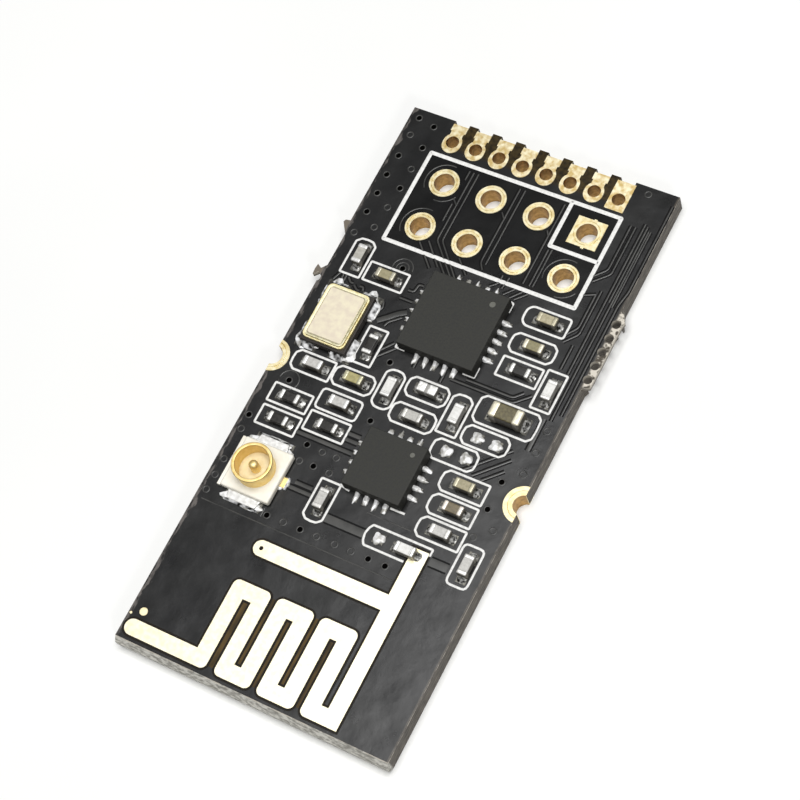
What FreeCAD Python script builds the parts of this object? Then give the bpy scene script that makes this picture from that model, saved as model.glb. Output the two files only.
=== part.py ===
import FreeCAD, Part
import Sketcher
import os
import re

# Wireless transceiver module: a small printed board with a plated header grid, a castellated edge, a printed
# meander antenna, two flat chips, a crystal, a micro coax connector and chip components.
# The origin is at the bottom centre of the board. +Z points out of the component side, +Y to the header end.

DRIVING_SIZES = {
    # board
    "board_width": 14.22,
    "board_length": 29.56,
    "board_thickness": 1.0,
    "plating": 0.03,
    "barrel_wall": 0.03,
    "ring_sides": 16,
    "score_depth": 0.35,
    "score_run": 0.24,
    # plated header grid
    "header_pitch": 2.54,
    "header_columns": 4,
    "header_rows": 2,
    "header_hole": 1.0,
    "header_pad": 1.52,
    "header_inset": 3.3,
    "header_shift": 0.06,
    # castellated edge
    "edge_pitch": 1.27,
    "edge_count": 8,
    "edge_hole": 0.65,
    "edge_pad_width": 0.96,
    "edge_pad_length": 1.22,
    "edge_land_width": 0.8,
    "edge_inset": 1.14,
    "edge_shift": 0.03,
    "notch_width": 0.78,
    "notch_depth": 0.2,
    # plated half-moon notches in the long sides
    "moon_hole": 1.0,
    "moon_left_pad": 1.72,
    "moon_right_pad": 1.86,
    "moon_overhang": 0.09,
    "moon_left_y": 0.28,
    "moon_right_y": -1.94,
    # break-off scars, where the board was snapped out of its panel
    "scar_pitch": 0.75,
    "scar_hole": 0.44,
    "scar_holes": 5,
    "scar_start": 4.7,
    "stub_root": 0.3,
    "stub_reach": 0.1,
    "lip_reach": 0.34,
    "lip_height": 0.3,
    "nub_reach": 0.3,
    "nub_height": 0.3,
    "recess_depth": 0.1,
    "scar_row_right": 0.07,
    "scar_row_left": 0.12,
    # antenna
    "trace_width": 0.78,
    "meander_slot": 0.35,
    "first_slot": 0.44,
    "meander_length": 4.38,
    "meander_pitch": 2.26,
    "antenna_margin": 0.25,
    "antenna_reach": 0.98,
    "foot_length": 3.68,
    "stub_length": 6.84,
    "stub_spacing": 1.3,
    "corner_radius": 0.3,
    "feed_width": 0.8,
    "feed_margin": 0.1,
    "arm_hole": 0.2,
    # lands and solder
    "land_overhang": 0.27,
    "land_inside": 0.28,
    "solder_toe": 0.03,
    "solder_reach": 0.25,
    "solder_climb": 0.6,
    # chip components
    "small_length": 1.0,
    "small_width": 0.5,
    "small_height": 0.5,
    "small_band": 0.24,
    "resistor_height": 0.35,
    "resistor_band": 0.22,
    "large_length": 1.6,
    "large_width": 0.8,
    "large_height": 0.8,
    "large_band": 0.35,
    "band_step": 0.015,
    # transceiver chip
    "transceiver_size": 4.0,
    "transceiver_height": 0.72,
    "transceiver_x": 0.31,
    "transceiver_y": 4.81,
    "transceiver_side_leads": 5,
    "transceiver_thermal": 2.6,
    # amplifier chip
    "amplifier_size": 3.0,
    "amplifier_height": 0.7,
    "amplifier_x": 0.75,
    "amplifier_y": -2.87,
    "amplifier_side_leads": 4,
    "amplifier_thermal": 1.7,
    # leads shared by both chips
    "lead_pitch": 0.5,
    "lead_width": 0.24,
    "lead_length": 0.4,
    "lead_height": 0.2,
    "lead_land": 0.42,
    "dot_size": 0.28,
    "dot_inset": 0.62,
    "dot_depth": 0.02,
    # crystal
    "crystal_width": 2.5,
    "crystal_length": 3.2,
    "crystal_base_height": 0.44,
    "crystal_ring_width": 2.26,
    "crystal_ring_length": 2.96,
    "crystal_ring_height": 0.14,
    "crystal_lid_width": 2.16,
    "crystal_lid_length": 2.86,
    "crystal_lid_height": 0.1,
    "crystal_ring_band": 0.3,
    "crystal_corner": 0.28,
    "crystal_corner_gap": 0.12,
    "crystal_land_length": 1.1,
    "crystal_land_width": 0.9,
    "crystal_x": -5.01,
    "crystal_y": 2.98,
    # micro coax connector
    "coax_x": -4.83,
    "coax_y": -5.26,
    "coax_body": 2.6,
    "coax_body_height": 0.38,
    "coax_ledge": 0.2,
    "coax_ledge_height": 0.2,
    "coax_height": 1.22,
    "coax_tube": 1.86,
    "coax_tube_bore": 1.64,
    "coax_lip": 1.98,
    "coax_lip_height": 0.14,
    "coax_sheet": 0.15,
    "coax_riser_width": 0.46,
    "coax_land_depth": 0.6,
    "coax_land_margin": 0.09,
    "coax_tab_width": 1.8,
    "coax_tab_reach": 1.72,
    "coax_pin": 0.46,
    "coax_pin_height": 1.05,
    "coax_pin_point": 0.14,
    "coax_pin_flat": 0.22,
    "coax_tail_width": 0.6,
    "coax_tail_reach": 1.52,
    "coax_tail_sheet": 0.1,
}

# Chip components: name, kind, long axis, centre across and along the board, measured from the board's centre.
COMPONENTS = [
    ("capacitor_1", "small", "Y", -5.62, 6.40),
    ("capacitor_2", "small", "X", -3.91, 5.86),
    ("resistor_1", "resistor", "Y", -2.93, 2.41),
    ("capacitor_3", "small", "X", -4.97, 0.48),
    ("capacitor_4", "small", "X", -2.80, 0.52),
    ("capacitor_5", "small", "X", -2.84, -0.81),
    ("resistor_2", "resistor", "X", -5.21, -1.43),
    ("resistor_3", "resistor", "X", -5.19, -2.62),
    ("resistor_4", "resistor", "X", -2.83, -2.05),
    ("inductor_1", "small", "Y", -1.03, 0.76),
    ("inductor_2", "small", "X", 0.70, 1.35),
    ("capacitor_6", "small", "X", 0.67, -0.12),
    ("inductor_3", "small", "Y", 2.50, 0.74),
    ("capacitor_7", "small", "X", 4.28, 6.58),
    ("capacitor_8", "small", "X", 4.29, 5.11),
    ("resistor_5", "resistor", "X", 4.21, 3.83),
    ("inductor_4", "small", "Y", 5.93, 3.41),
    ("capacitor_9", "large", "X", 4.74, 1.53),
    ("capacitor_10", "small", "X", 4.46, -2.23),
    ("capacitor_11", "small", "X", 4.49, -3.42),
    ("capacitor_12", "small", "X", 4.46, -4.63),
    ("capacitor_13", "small", "Y", 6.25, -5.57),
    ("inductor_5", "small", "X", 3.39, -5.99),
    ("capacitor_14", "small", "Y", -1.32, -5.34),
]

# Lands of the footprints that hold no component: centre across and along the board.
SPARE_LANDS = [(3.83, 0.17), (4.78, 0.15), (2.80, -0.95), (3.80, -0.93), (1.92, -5.92)]

# The component whose right end stands on the top of the antenna's feed.
FEED_COMPONENT = "inductor_5"

UP = FreeCAD.Vector(0, 0, 1)
TURNS = {"right": -90, "left": 90, "rear": 0, "front": 180}
FLAT_TURN = 180 / DRIVING_SIZES["ring_sides"]

doc = FreeCAD.newDocument("wireless_transceiver_module")
nodes = []


def fill_sheet():
    """Writes every driving size to the sheet, one row each, under its own alias."""
    sheet = doc.addObject("Spreadsheet::Sheet", "sizes")
    rows = dict(DRIVING_SIZES)
    for name, kind, axis, across, along in COMPONENTS:
        rows[name + "_across"] = across
        rows[name + "_along"] = along
    for number, (across, along) in enumerate(SPARE_LANDS, 1):
        rows[f"spare_{number}_across"] = across
        rows[f"spare_{number}_along"] = along
    for row, (alias, value) in enumerate(rows.items(), 1):
        sheet.set(f"A{row}", alias)
        sheet.set(f"B{row}", str(value))
        sheet.setAlias(f"B{row}", alias)
    doc.recompute()


def spell(text):
    """Turns the named sizes in an expression into references to the sheet."""
    return re.sub(r"[a-z]\w+", lambda word: "sizes." + word[0] if word[0] in sheet_words else word[0], text)


def bind(item, prop, text):
    item.setExpression(prop, spell(str(text)))


def seat(item, x, y, z, turn=0):
    """Puts an object at a place given by expressions, turned about Z."""
    item.Placement = FreeCAD.Placement(FreeCAD.Vector(), FreeCAD.Rotation(UP, turn))
    bind(item, "Placement.Base.x", x)
    bind(item, "Placement.Base.y", y)
    bind(item, "Placement.Base.z", z)


def block(name, length, width, height, x, y, z):
    """A box centred on x and y, standing on z."""
    item = doc.addObject("Part::Box", name)
    bind(item, "Length", length)
    bind(item, "Width", width)
    bind(item, "Height", height)
    seat(item, f"({x}) - ({length}) / 2", f"({y}) - ({width}) / 2", z)
    return item


def disc(name, diameter, height, x, y, z):
    item = doc.addObject("Part::Cylinder", name)
    bind(item, "Radius", f"({diameter}) / 2")
    bind(item, "Height", height)
    seat(item, x, y, z)
    return item


def ring(name, across, height, x, y, z):
    """A plated ring's outline, with flat sides because dozens of true circles would make the model heavy."""
    item = doc.addObject("Part::Prism", name)
    bind(item, "Polygon", "ring_sides")
    bind(item, "Circumradius", f"({across}) / 2 / cos(180 deg / ring_sides)")
    bind(item, "Height", height)
    seat(item, x, y, z, FLAT_TURN)
    return item


def fuse(name, shapes):
    item = doc.addObject("Part::MultiFuse", name)
    item.Shapes = shapes
    return item


def cut(name, base, tool):
    item = doc.addObject("Part::Cut", name)
    item.Base = base
    item.Tool = tool
    return item


def common(name, shapes):
    item = doc.addObject("Part::MultiCommon", name)
    item.Shapes = shapes
    return item


def group(name, shapes):
    """Several separate solids that share one node."""
    item = doc.addObject("Part::Compound", name)
    item.Links = shapes
    return item


def node(item, name):
    """Marks an object as a finished piece with a name of its own."""
    item.Label = name
    nodes.append(item)
    return item


def origin_feature(body, role):
    return [feature for feature in body.Origin.OriginFeatures if feature.Role == role][0]


def new_body(name):
    return doc.addObject("PartDesign::Body", name)


def new_sketch(body, name, x, y, z, plane="XY_Plane"):
    """A sketch on one of the body's own planes, shifted in it by x and y and along its normal by z."""
    sketch = body.newObject("Sketcher::SketchObject", name)
    sketch.AttachmentSupport = [(origin_feature(body, plane), "")]
    sketch.MapMode = "FlatFace"
    bind(sketch, "AttachmentOffset.Base.x", x)
    bind(sketch, "AttachmentOffset.Base.y", y)
    bind(sketch, "AttachmentOffset.Base.z", z)
    return sketch


def dimension(sketch, kind, values, name, text):
    index = sketch.addConstraint(Sketcher.Constraint(kind, *values))
    sketch.renameConstraint(index, name)
    bind(sketch, f"Constraints.{name}", text)


def circle_sketch(body, name, diameter, x, y, z):
    sketch = new_sketch(body, name, x, y, z)
    sketch.addGeometry(Part.Circle(FreeCAD.Vector(), UP, 1))
    sketch.addConstraint(Sketcher.Constraint("Coincident", 0, 3, -1, 1))
    dimension(sketch, "Radius", (0, 1), "radius", f"({diameter}) / 2")
    return sketch


def polygon_sketch(body, name, points, x, y, z, plane="XY_Plane"):
    """A closed outline through the given points, each fixed by its two distances from the sketch's origin."""
    sketch = new_sketch(body, name, x, y, z, plane)
    start = [FreeCAD.Vector(index % 2 + index, index // 2 + 1, 0) for index in range(len(points))]
    for index in range(len(points)):
        sketch.addGeometry(Part.LineSegment(start[index], start[(index + 1) % len(points)]))
    for index in range(len(points)):
        sketch.addConstraint(Sketcher.Constraint("Coincident", index, 2, (index + 1) % len(points), 1))
    for index, (across, along) in enumerate(points):
        dimension(sketch, "DistanceX", (-1, 1, index, 1, start[index].x), f"across_{index}", across)
        dimension(sketch, "DistanceY", (-1, 1, index, 1, start[index].y), f"along_{index}", along)
    return sketch


def rectangle_sketch(body, name, length, width, x, y, z):
    half_length = f"({length}) / 2"
    half_width = f"({width}) / 2"
    points = [
        (f"-{half_length}", f"-{half_width}"),
        (half_length, f"-{half_width}"),
        (half_length, half_width),
        (f"-{half_length}", half_width),
    ]
    return polygon_sketch(body, name, points, x, y, z)


def pad(body, name, sketch, length):
    item = body.newObject("PartDesign::Pad", name)
    item.Profile = sketch
    bind(item, "Length", length)
    return item


def pocket(body, name, sketch, depth=None):
    """Cuts down from its sketch, right through where no depth is given."""
    item = body.newObject("PartDesign::Pocket", name)
    item.Profile = sketch
    if depth is None:
        item.Type = "ThroughAll"
    else:
        bind(item, "Length", depth)
    return item


def repeat(body, name, feature, axis, spacing, count):
    item = body.newObject("PartDesign::LinearPattern", name)
    item.Originals = [feature]
    item.Direction = (origin_feature(body, axis), [""])
    item.Mode = "Spacing"
    bind(item, "Offset", spacing)
    bind(item, "Occurrences", count)
    body.Tip = item
    return item


# Places that several pieces share
TOP = "(plating + board_thickness)"
SEAT = "(2 * plating + board_thickness)"
HEADER_Y = "(board_length / 2 - header_inset)"
EDGE_Y = "(board_length / 2 - edge_inset)"
NOTCH_Y = "(board_length / 2 - notch_depth)"
MOON_X = "(board_width / 2 + moon_overhang)"
STACK = "(2 * plating + board_thickness)"


def column_x(index):
    return f"(header_shift + ({index} - (header_columns - 1) / 2) * header_pitch)"


def edge_x(index):
    return f"(edge_shift + ({index} - (edge_count - 1) / 2) * edge_pitch)"


def through_holes(body, name, diameter, x, y, axis="X_Axis", spacing=None, count=None):
    """A drilled hole right through the board, repeated along an axis where a spacing is given."""
    feature = body.newObject("PartDesign::SubtractivePrism", name)
    feature.AttachmentSupport = [(origin_feature(body, "XY_Plane"), "")]
    feature.MapMode = "FlatFace"
    feature.AttachmentOffset = FreeCAD.Placement(FreeCAD.Vector(), FreeCAD.Rotation(UP, FLAT_TURN))
    bind(feature, "Polygon", "ring_sides")
    bind(feature, "Circumradius", f"({diameter}) / 2 / cos(180 deg / ring_sides)")
    bind(feature, "Height", STACK)
    bind(feature, "AttachmentOffset.Base.x", x)
    bind(feature, "AttachmentOffset.Base.y", y)
    if spacing:
        feature = repeat(body, name + "_pattern", feature, axis, spacing, count)
    return feature


def scored_edge(body):
    """The front edge was scored from both faces and snapped, which leaves a ridge at half depth."""
    ridge = [
        ("-board_length / 2", "plating"),
        ("-board_length / 2", TOP),
        ("-board_length / 2 - score_run", f"{TOP} - score_depth"),
        ("-board_length / 2 - score_run", "plating + score_depth"),
    ]
    outline = polygon_sketch(body, "score_outline", ridge, "0", "0", "-board_width / 2", "YZ_Plane")
    return pad(body, "score_ridge", outline, "board_width")


def right_scar(body):
    """The right side snapped through a row of small holes; a lip of its upper layers stayed round them."""
    top = "(scar_start + (scar_holes - 1) * scar_pitch)"
    side = "board_width / 2"
    stub = [
        (f"{side} - stub_root", "scar_start - scar_hole"),
        (side, "scar_start - scar_hole"),
        (f"{side} + stub_reach", "scar_start - scar_hole / 2"),
        (f"{side} + stub_reach / 2", "scar_start + scar_pitch"),
        (f"{side} + stub_reach * 0.6", "scar_start + 2.5 * scar_pitch"),
        (f"{side} + stub_reach", f"{top} - scar_hole"),
        (f"{side} + stub_reach * 2.7", f"{top} + scar_hole / 2"),
        (f"{side} + stub_reach * 1.5", f"{top} + scar_hole"),
        (side, f"{top} + 2 * scar_hole"),
        (f"{side} - stub_root", f"{top} + 2 * scar_hole"),
    ]
    pad(body, "stub", polygon_sketch(body, "stub_outline", stub, "0", "0", "plating"), "board_thickness")
    lip = [
        (f"{side} - stub_root", "scar_start - scar_hole"),
        (side, "scar_start - scar_hole * 1.2"),
        (f"{side} + lip_reach", "scar_start - scar_hole * 0.7"),
        (f"{side} + lip_reach", top),
        (f"{side} + lip_reach * 1.2", f"{top} + scar_hole / 2"),
        (side, f"{top} + scar_hole * 2"),
        (f"{side} - stub_root", f"{top} + scar_hole * 2"),
    ]
    level = f"{TOP} - lip_height"
    pad(body, "lip", polygon_sketch(body, "lip_outline", lip, "0", "0", level), "lip_height")
    row = f"{side} + scar_row_right"
    return through_holes(
        body, "scar_hole_right", "scar_hole", row, "scar_start", "Y_Axis", "scar_pitch", "scar_holes"
    )


def left_scar(body):
    """The left side snapped along its holes: a shallow recess between two nubs torn from the upper layers."""
    side = "-board_width / 2"
    top = "(scar_start + (scar_holes - 1) * scar_pitch)"
    upper_nub = [
        (f"{side} + recess_depth", f"{top} - scar_hole"),
        (f"{side} + recess_depth", f"{top} + scar_hole * 0.7"),
        (side, f"{top} + scar_hole * 0.7"),
        (f"{side} - nub_reach * 0.8", f"{top} + scar_hole * 0.6"),
        (f"{side} - nub_reach", f"{top} + scar_hole * 0.3"),
        (f"{side} - nub_reach * 0.5", f"{top} - scar_hole * 0.2"),
    ]
    lower_nub = [
        (f"{side} + recess_depth", "scar_start + scar_hole * 0.3"),
        (f"{side} + recess_depth", "scar_start + scar_pitch"),
        (f"{side} - nub_reach * 0.4", "scar_start + scar_pitch * 0.66"),
        (f"{side} - nub_reach * 1.2", "scar_start + scar_pitch * 0.85"),
        (f"{side} - nub_reach * 1.3", "scar_start + scar_pitch * 0.5"),
        (f"{side} - nub_reach * 1.2", "scar_start + scar_pitch * 0.1"),
        (f"{side} - nub_reach * 0.5", "scar_start + scar_pitch * 0.4"),
    ]
    recess = rectangle_sketch(
        body, "recess_outline", "recess_depth * 2", f"{top} - scar_start - scar_pitch", side,
        f"({top} + scar_start + scar_pitch) / 2 - scar_hole / 2", TOP
    )
    pocket(body, "recess", recess)
    level = f"{TOP} - nub_height"
    upper = polygon_sketch(body, "upper_nub_outline", upper_nub, "0", "0", level)
    pad(body, "upper_nub", upper, "nub_height")
    lower = polygon_sketch(body, "lower_nub_outline", lower_nub, "0", "0", level)
    pad(body, "lower_nub", lower, "nub_height")
    return through_holes(body, "scar_hole_left", "scar_hole", f"{side} - scar_row_left", "scar_start")


def board_piece():
    body = new_body("board_body")
    slab = rectangle_sketch(body, "slab_outline", "board_width", "board_length", "0", "0", "plating")
    pad(body, "slab", slab, "board_thickness")
    bore = "moon_hole + 2 * barrel_wall"
    through_holes(body, "moon_left", bore, f"-{MOON_X}", "moon_left_y")
    through_holes(body, "moon_right", bore, MOON_X, "moon_right_y")
    scored_edge(body)
    right_scar(body)
    left_scar(body)
    bore = "header_hole + 2 * barrel_wall"
    for row in range(DRIVING_SIZES["header_rows"]):
        y = f"{HEADER_Y} - {row} * header_pitch"
        through_holes(
            body, f"header_hole_row_{row + 1}", bore, column_x(0), y,
            "X_Axis", "header_pitch", "header_columns"
        )
    bore = "edge_hole + 2 * barrel_wall"
    through_holes(body, "edge_hole", bore, edge_x(0), EDGE_Y, "X_Axis", "edge_pitch", "edge_count")
    notch = rectangle_sketch(
        body, "notch_outline", "notch_width", "notch_depth * 2", edge_x(0), "board_length / 2", TOP
    )
    repeat(body, "notch_pattern", pocket(body, "notch", notch), "X_Axis", "edge_pitch", "edge_count")
    node(body, "board")


def plated(name, outline, bore, x, y, trim=None):
    """Plating on both faces of the board, joined by a thin barrel in a hole drilled through all of it.
    The outline is a function that gives the shapes on one face for a label, a height and a level."""
    shapes = outline(name + "_under", "plating", "0") + outline(name + "_upper", "plating", TOP)
    shapes.append(ring(name + "_barrel", f"{bore} + 2 * barrel_wall", STACK, x, y, "0"))
    blank = fuse(name + "_blank", shapes)
    if trim:
        blank = common(name + "_trimmed", [blank, trim])
    drill = disc(name + "_drill", bore, STACK, x, y, "0")
    return cut(name + "_piece", blank, drill)


def header_eyelets():
    """Eight plated eyelets, numbered from the square one along the outer row and then the inner row."""
    number = 0
    for row in range(DRIVING_SIZES["header_rows"]):
        for column in reversed(range(DRIVING_SIZES["header_columns"])):
            number += 1
            x = column_x(column)
            y = f"({HEADER_Y} - {row} * header_pitch)"

            def flange(label, height, z):
                if number == 1:
                    return [block(label, "header_pad", "header_pad", height, x, y, z)]
                return [ring(label, "header_pad", height, x, y, z)]

            name = f"header_eyelet_{number}"
            node(plated(name, flange, "header_hole", x, y), name)


def castellated_pads():
    """Eight pads along the rear edge: a ring round a hole, a neck, and a land turned down in its notch."""
    straight = "(edge_pad_length - edge_pad_width)"
    land_end = f"({NOTCH_Y} + barrel_wall)"
    land_length = f"({land_end} - {EDGE_Y} - edge_pad_width / 2)"
    for index in range(DRIVING_SIZES["edge_count"]):
        x = edge_x(index)

        def strip(label, height, z):
            shapes = [
                block(
                    label + "_land", "edge_land_width", land_length, height,
                    x, f"{land_end} - {land_length} / 2", z
                )
            ]
            if index == DRIVING_SIZES["edge_count"] - 1:
                return shapes + [block(label, "edge_pad_width", "edge_pad_length", height, x, EDGE_Y, z)]
            return shapes + [
                block(label, "edge_pad_width", straight, height, x, EDGE_Y, z),
                ring(label + "_front", "edge_pad_width", height, x, f"{EDGE_Y} - {straight} / 2", z),
                ring(label + "_rear", "edge_pad_width", height, x, f"{EDGE_Y} + {straight} / 2", z),
            ]

        name = f"castellated_pad_{index + 1}"
        faces = plated(name + "_faces", strip, "edge_hole", x, EDGE_Y)
        edge_wall = block(
            name + "_edge_wall", "notch_width", "barrel_wall", STACK, x, f"{NOTCH_Y} + barrel_wall / 2", "0"
        )
        node(fuse(name + "_joined", [faces, edge_wall]), name)


def edge_contacts():
    """A half-moon contact on each long side, where a plated hole was cut through by the board's edge."""
    for side, sign in (("left", "-"), ("right", "")):
        name = f"edge_contact_{side}"
        x = f"({sign}{MOON_X})"
        y = f"moon_{side}_y"

        def whole_ring(label, height, z):
            return [ring(label, f"moon_{side}_pad", height, x, y, z)]

        inside = block(name + "_inside", "board_width", "board_length", STACK, "0", "0", "0")
        node(plated(name, whole_ring, "moon_hole", x, y, inside), name)


def vertical_edges(shape, keep):
    """The names of the upright edges whose place passes the test."""
    found = []
    for index, edge in enumerate(shape.Edges, 1):
        first = edge.Vertexes[0].Point
        last = edge.Vertexes[-1].Point
        if abs(first.x - last.x) < 1e-6 and abs(first.y - last.y) < 1e-6 and keep(first.x, first.y):
            found.append(f"Edge{index}")
    return found


def antenna_piece():
    """A meander in bare copper: a block slotted from both ends, with a foot, a feed and a matching arm."""
    body = new_body("antenna_body")
    right = f"({FEED_COMPONENT}_across + antenna_reach)"
    bottom = "(-board_length / 2 + antenna_margin)"
    top = f"({bottom} + meander_length)"
    slot_start = f"({right} - feed_width - meander_slot / 2)"
    slot_length = "(meander_length - trace_width)"
    left = f"({slot_start} - 2.5 * meander_pitch - first_slot / 2 - trace_width)"
    width = f"({right} - {left})"
    meander = rectangle_sketch(
        body, "meander_outline", width, "meander_length",
        f"({left} + {right}) / 2", f"({bottom} + {top}) / 2", TOP
    )
    pad(body, "meander", meander, "plating")
    rear_slot = rectangle_sketch(
        body, "rear_slot_outline", "meander_slot", slot_length, slot_start, f"{top} - {slot_length} / 2", SEAT
    )
    rear = pocket(body, "rear_slot", rear_slot, "plating")
    pattern = repeat(body, "rear_slots", rear, "X_Axis", "meander_pitch", "3")
    pattern.Reversed = True
    front_slot = rectangle_sketch(
        body, "front_slot_outline", "meander_slot", slot_length, f"{slot_start} - meander_pitch / 2",
        f"{bottom} + {slot_length} / 2", SEAT
    )
    front = pocket(body, "front_slot", front_slot, "plating")
    pattern = repeat(body, "front_slots", front, "X_Axis", "meander_pitch", "2")
    pattern.Reversed = True
    wide_slot = rectangle_sketch(
        body, "wide_slot_outline", "first_slot", slot_length, f"{slot_start} - 2.5 * meander_pitch",
        f"{bottom} + {slot_length} / 2", SEAT
    )
    slotted = pocket(body, "wide_slot", wide_slot, "plating")
    doc.recompute()
    box = slotted.Shape.BoundBox
    ends = (box.YMin, box.YMax)
    corners = vertical_edges(
        slotted.Shape,
        lambda x, y: min(abs(y - end) for end in ends) < 1e-6
        and x < box.XMax - 1e-6
        and not (abs(y - box.YMin) < 1e-6 and abs(x - box.XMin) < 1e-6)
        and not (abs(y - box.YMax) < 1e-6 and x > box.XMax - DRIVING_SIZES["feed_width"] - 1e-3)
    )
    rounding = body.newObject("PartDesign::Fillet", "rounding")
    rounding.Base = (slotted, corners)
    bind(rounding, "Radius", "corner_radius")
    foot = rectangle_sketch(
        body, "foot_outline", "foot_length - trace_width / 2 + corner_radius", "trace_width",
        f"{left} + (corner_radius - foot_length + trace_width / 2) / 2", f"{bottom} + trace_width / 2", TOP
    )
    pad(body, "foot", foot, "plating")
    foot_end = circle_sketch(
        body, "foot_end_outline", "trace_width", f"{left} - foot_length + trace_width / 2",
        f"{bottom} + trace_width / 2", TOP
    )
    pad(body, "foot_end", foot_end, "plating")
    feed_top = f"({FEED_COMPONENT}_along + small_width / 2 + feed_margin)"
    feed = rectangle_sketch(
        body, "feed_outline", "feed_width", f"{feed_top} - {top} + trace_width", f"{right} - feed_width / 2",
        f"({feed_top} + {top} - trace_width) / 2", TOP
    )
    pad(body, "feed", feed, "plating")
    arm_y = f"({top} + stub_spacing + trace_width / 2)"
    arm_length = "(stub_length - trace_width / 2 + feed_width / 2)"
    arm = rectangle_sketch(
        body, "arm_outline", arm_length, "trace_width",
        f"{right} - feed_width / 2 - {arm_length} / 2", arm_y, TOP
    )
    pad(body, "arm", arm, "plating")
    arm_end_x = f"{right} - feed_width / 2 - {arm_length}"
    round_end = circle_sketch(body, "arm_end_outline", "trace_width", arm_end_x, arm_y, TOP)
    pad(body, "arm_end", round_end, "plating")
    hole = circle_sketch(body, "arm_hole_outline", "arm_hole", arm_end_x, arm_y, SEAT)
    body.Tip = pocket(body, "arm_hole", hole, "plating")
    return node(body, "antenna")


def chip_sides(prefix):
    """For each side of a chip: its name, the turn of a wedge there, and where lead index meets the edge."""
    half = f"{prefix}_size / 2"
    for side, turn in TURNS.items():
        for index in range(DRIVING_SIZES[f"{prefix}_side_leads"]):
            along = f"(({index} - ({prefix}_side_leads - 1) / 2) * lead_pitch)"
            if side in ("right", "left"):
                sign = "+" if side == "right" else "-"
                yield side, turn, index, f"({prefix}_x {sign} {half})", f"({prefix}_y + {along})", sign
            else:
                sign = "+" if side == "rear" else "-"
                yield side, turn, index, f"({prefix}_x + {along})", f"({prefix}_y {sign} {half})", sign


def flat_lead(name, side, sign, x, y, length, height, z):
    """A strip that runs inward from x, y on one side of a chip."""
    shift = f"({sign}1) * -({length}) / 2"
    if side in ("right", "left"):
        return block(name, length, "lead_width", height, f"{x} + {shift}", y, z)
    return block(name, "lead_width", length, height, x, f"{y} + {shift}", z)


def solder_wedge(name, width, reach, height, x, y, z, turn):
    """A fillet of solder that falls away from x, y in the direction of its turn."""
    item = doc.addObject("Part::Wedge", name)
    for prop, text in (
        ("Xmin", f"-({width}) / 2"),
        ("Xmax", f"({width}) / 2"),
        ("X2min", f"-({width}) / 2"),
        ("X2max", f"({width}) / 2"),
        ("Ymin", "0"),
        ("Ymax", reach),
        ("Zmin", "0"),
        ("Zmax", height),
        ("Z2min", "0"),
        ("Z2max", "solder_toe"),
    ):
        bind(item, prop, text)
    seat(item, x, y, z, turn)
    return item


def chip(prefix, lands, wedges):
    """A flat leadless chip: moulded body with a round mark, and leads flush with its underside and sides."""
    leads = []
    for side, turn, index, x, y, sign in chip_sides(prefix):
        name = f"{prefix}_{side}_{index + 1}"
        leads.append(flat_lead(name + "_lead", side, sign, x, y, "lead_length", "lead_height", SEAT))
        outer_x = f"{x} {sign} lead_land" if side in ("right", "left") else x
        outer_y = y if side in ("right", "left") else f"{y} {sign} lead_land"
        land = "lead_length + lead_land"
        lands.append(flat_lead(name + "_land", side, sign, outer_x, outer_y, land, "plating", TOP))
        wedges.append(
            solder_wedge(name + "_solder", "lead_width", "lead_land", "lead_height", x, y, SEAT, turn)
        )
    centre = (f"{prefix}_x", f"{prefix}_y")
    thermal = f"{prefix}_thermal"
    leads.append(block(f"{prefix}_thermal_pad", thermal, thermal, "lead_height", *centre, SEAT))
    lands.append(block(f"{prefix}_thermal_land", thermal, thermal, "plating", *centre, TOP))
    lead_set = node(group(f"{prefix}_lead_set", leads), f"{prefix}_leads")
    size = f"{prefix}_size"
    blank = block(f"{prefix}_blank", size, size, f"{prefix}_height", *centre, SEAT)
    inset = f"({size} / 2 - dot_inset)"
    mark = ring(
        f"{prefix}_mark", "dot_size", "dot_depth", f"{prefix}_x + {inset}", f"{prefix}_y + {inset}",
        f"{SEAT} + {prefix}_height - dot_depth"
    )
    seated = cut(f"{prefix}_seated", blank, lead_set)
    node(cut(f"{prefix}_marked", seated, mark), f"{prefix}_body")


def component(name, kind, axis, lands, wedges):
    """A chip component: a ceramic body with a slightly thicker plated band round each end."""
    size_of = {"small": "small", "resistor": "small", "large": "large"}[kind]
    length = f"{size_of}_length"
    width = f"{size_of}_width"
    height = f"{kind}_height"
    band = f"{kind}_band"
    x = f"{name}_across"
    y = f"{name}_along"

    def laid(label, long_side, short_side, tall, shift, z):
        if axis == "X":
            return block(label, long_side, short_side, tall, f"{x} + {shift}", y, z)
        return block(label, short_side, long_side, tall, x, f"{y} + {shift}", z)

    inner = (f"{width} - 2 * band_step", f"{height} - 2 * band_step")
    shapes = [laid(name + "_core", f"{length} - {band}", *inner, "0", f"{SEAT} + band_step")]
    for end, sign in (("high", "+"), ("low", "-")):
        shift = f"({sign}1) * ({length} - {band}) / 2"
        shapes.append(laid(f"{name}_band_{end}", band, width, height, shift, SEAT))
        on_feed = name == FEED_COMPONENT and end == "high"
        if not on_feed:
            land_shift = f"({sign}1) * ({length} / 2 + (land_overhang - land_inside) / 2)"
            lands.append(
                laid(f"{name}_land_{end}", "land_inside + land_overhang", width, "plating", land_shift, TOP)
            )
        edge = f"({sign}1) * {length} / 2"
        if axis == "X":
            turn = TURNS["right" if end == "high" else "left"]
            place = (f"{x} + {edge}", y)
        else:
            turn = TURNS["rear" if end == "high" else "front"]
            place = (x, f"{y} + {edge}")
        wedges.append(
            solder_wedge(
                f"{name}_solder_{end}",
                f"{width} - 2 * band_step", "solder_reach", f"{height} * solder_climb",
                *place, SEAT, turn
            )
        )
    node(fuse(name + "_piece", shapes), name)


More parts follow.
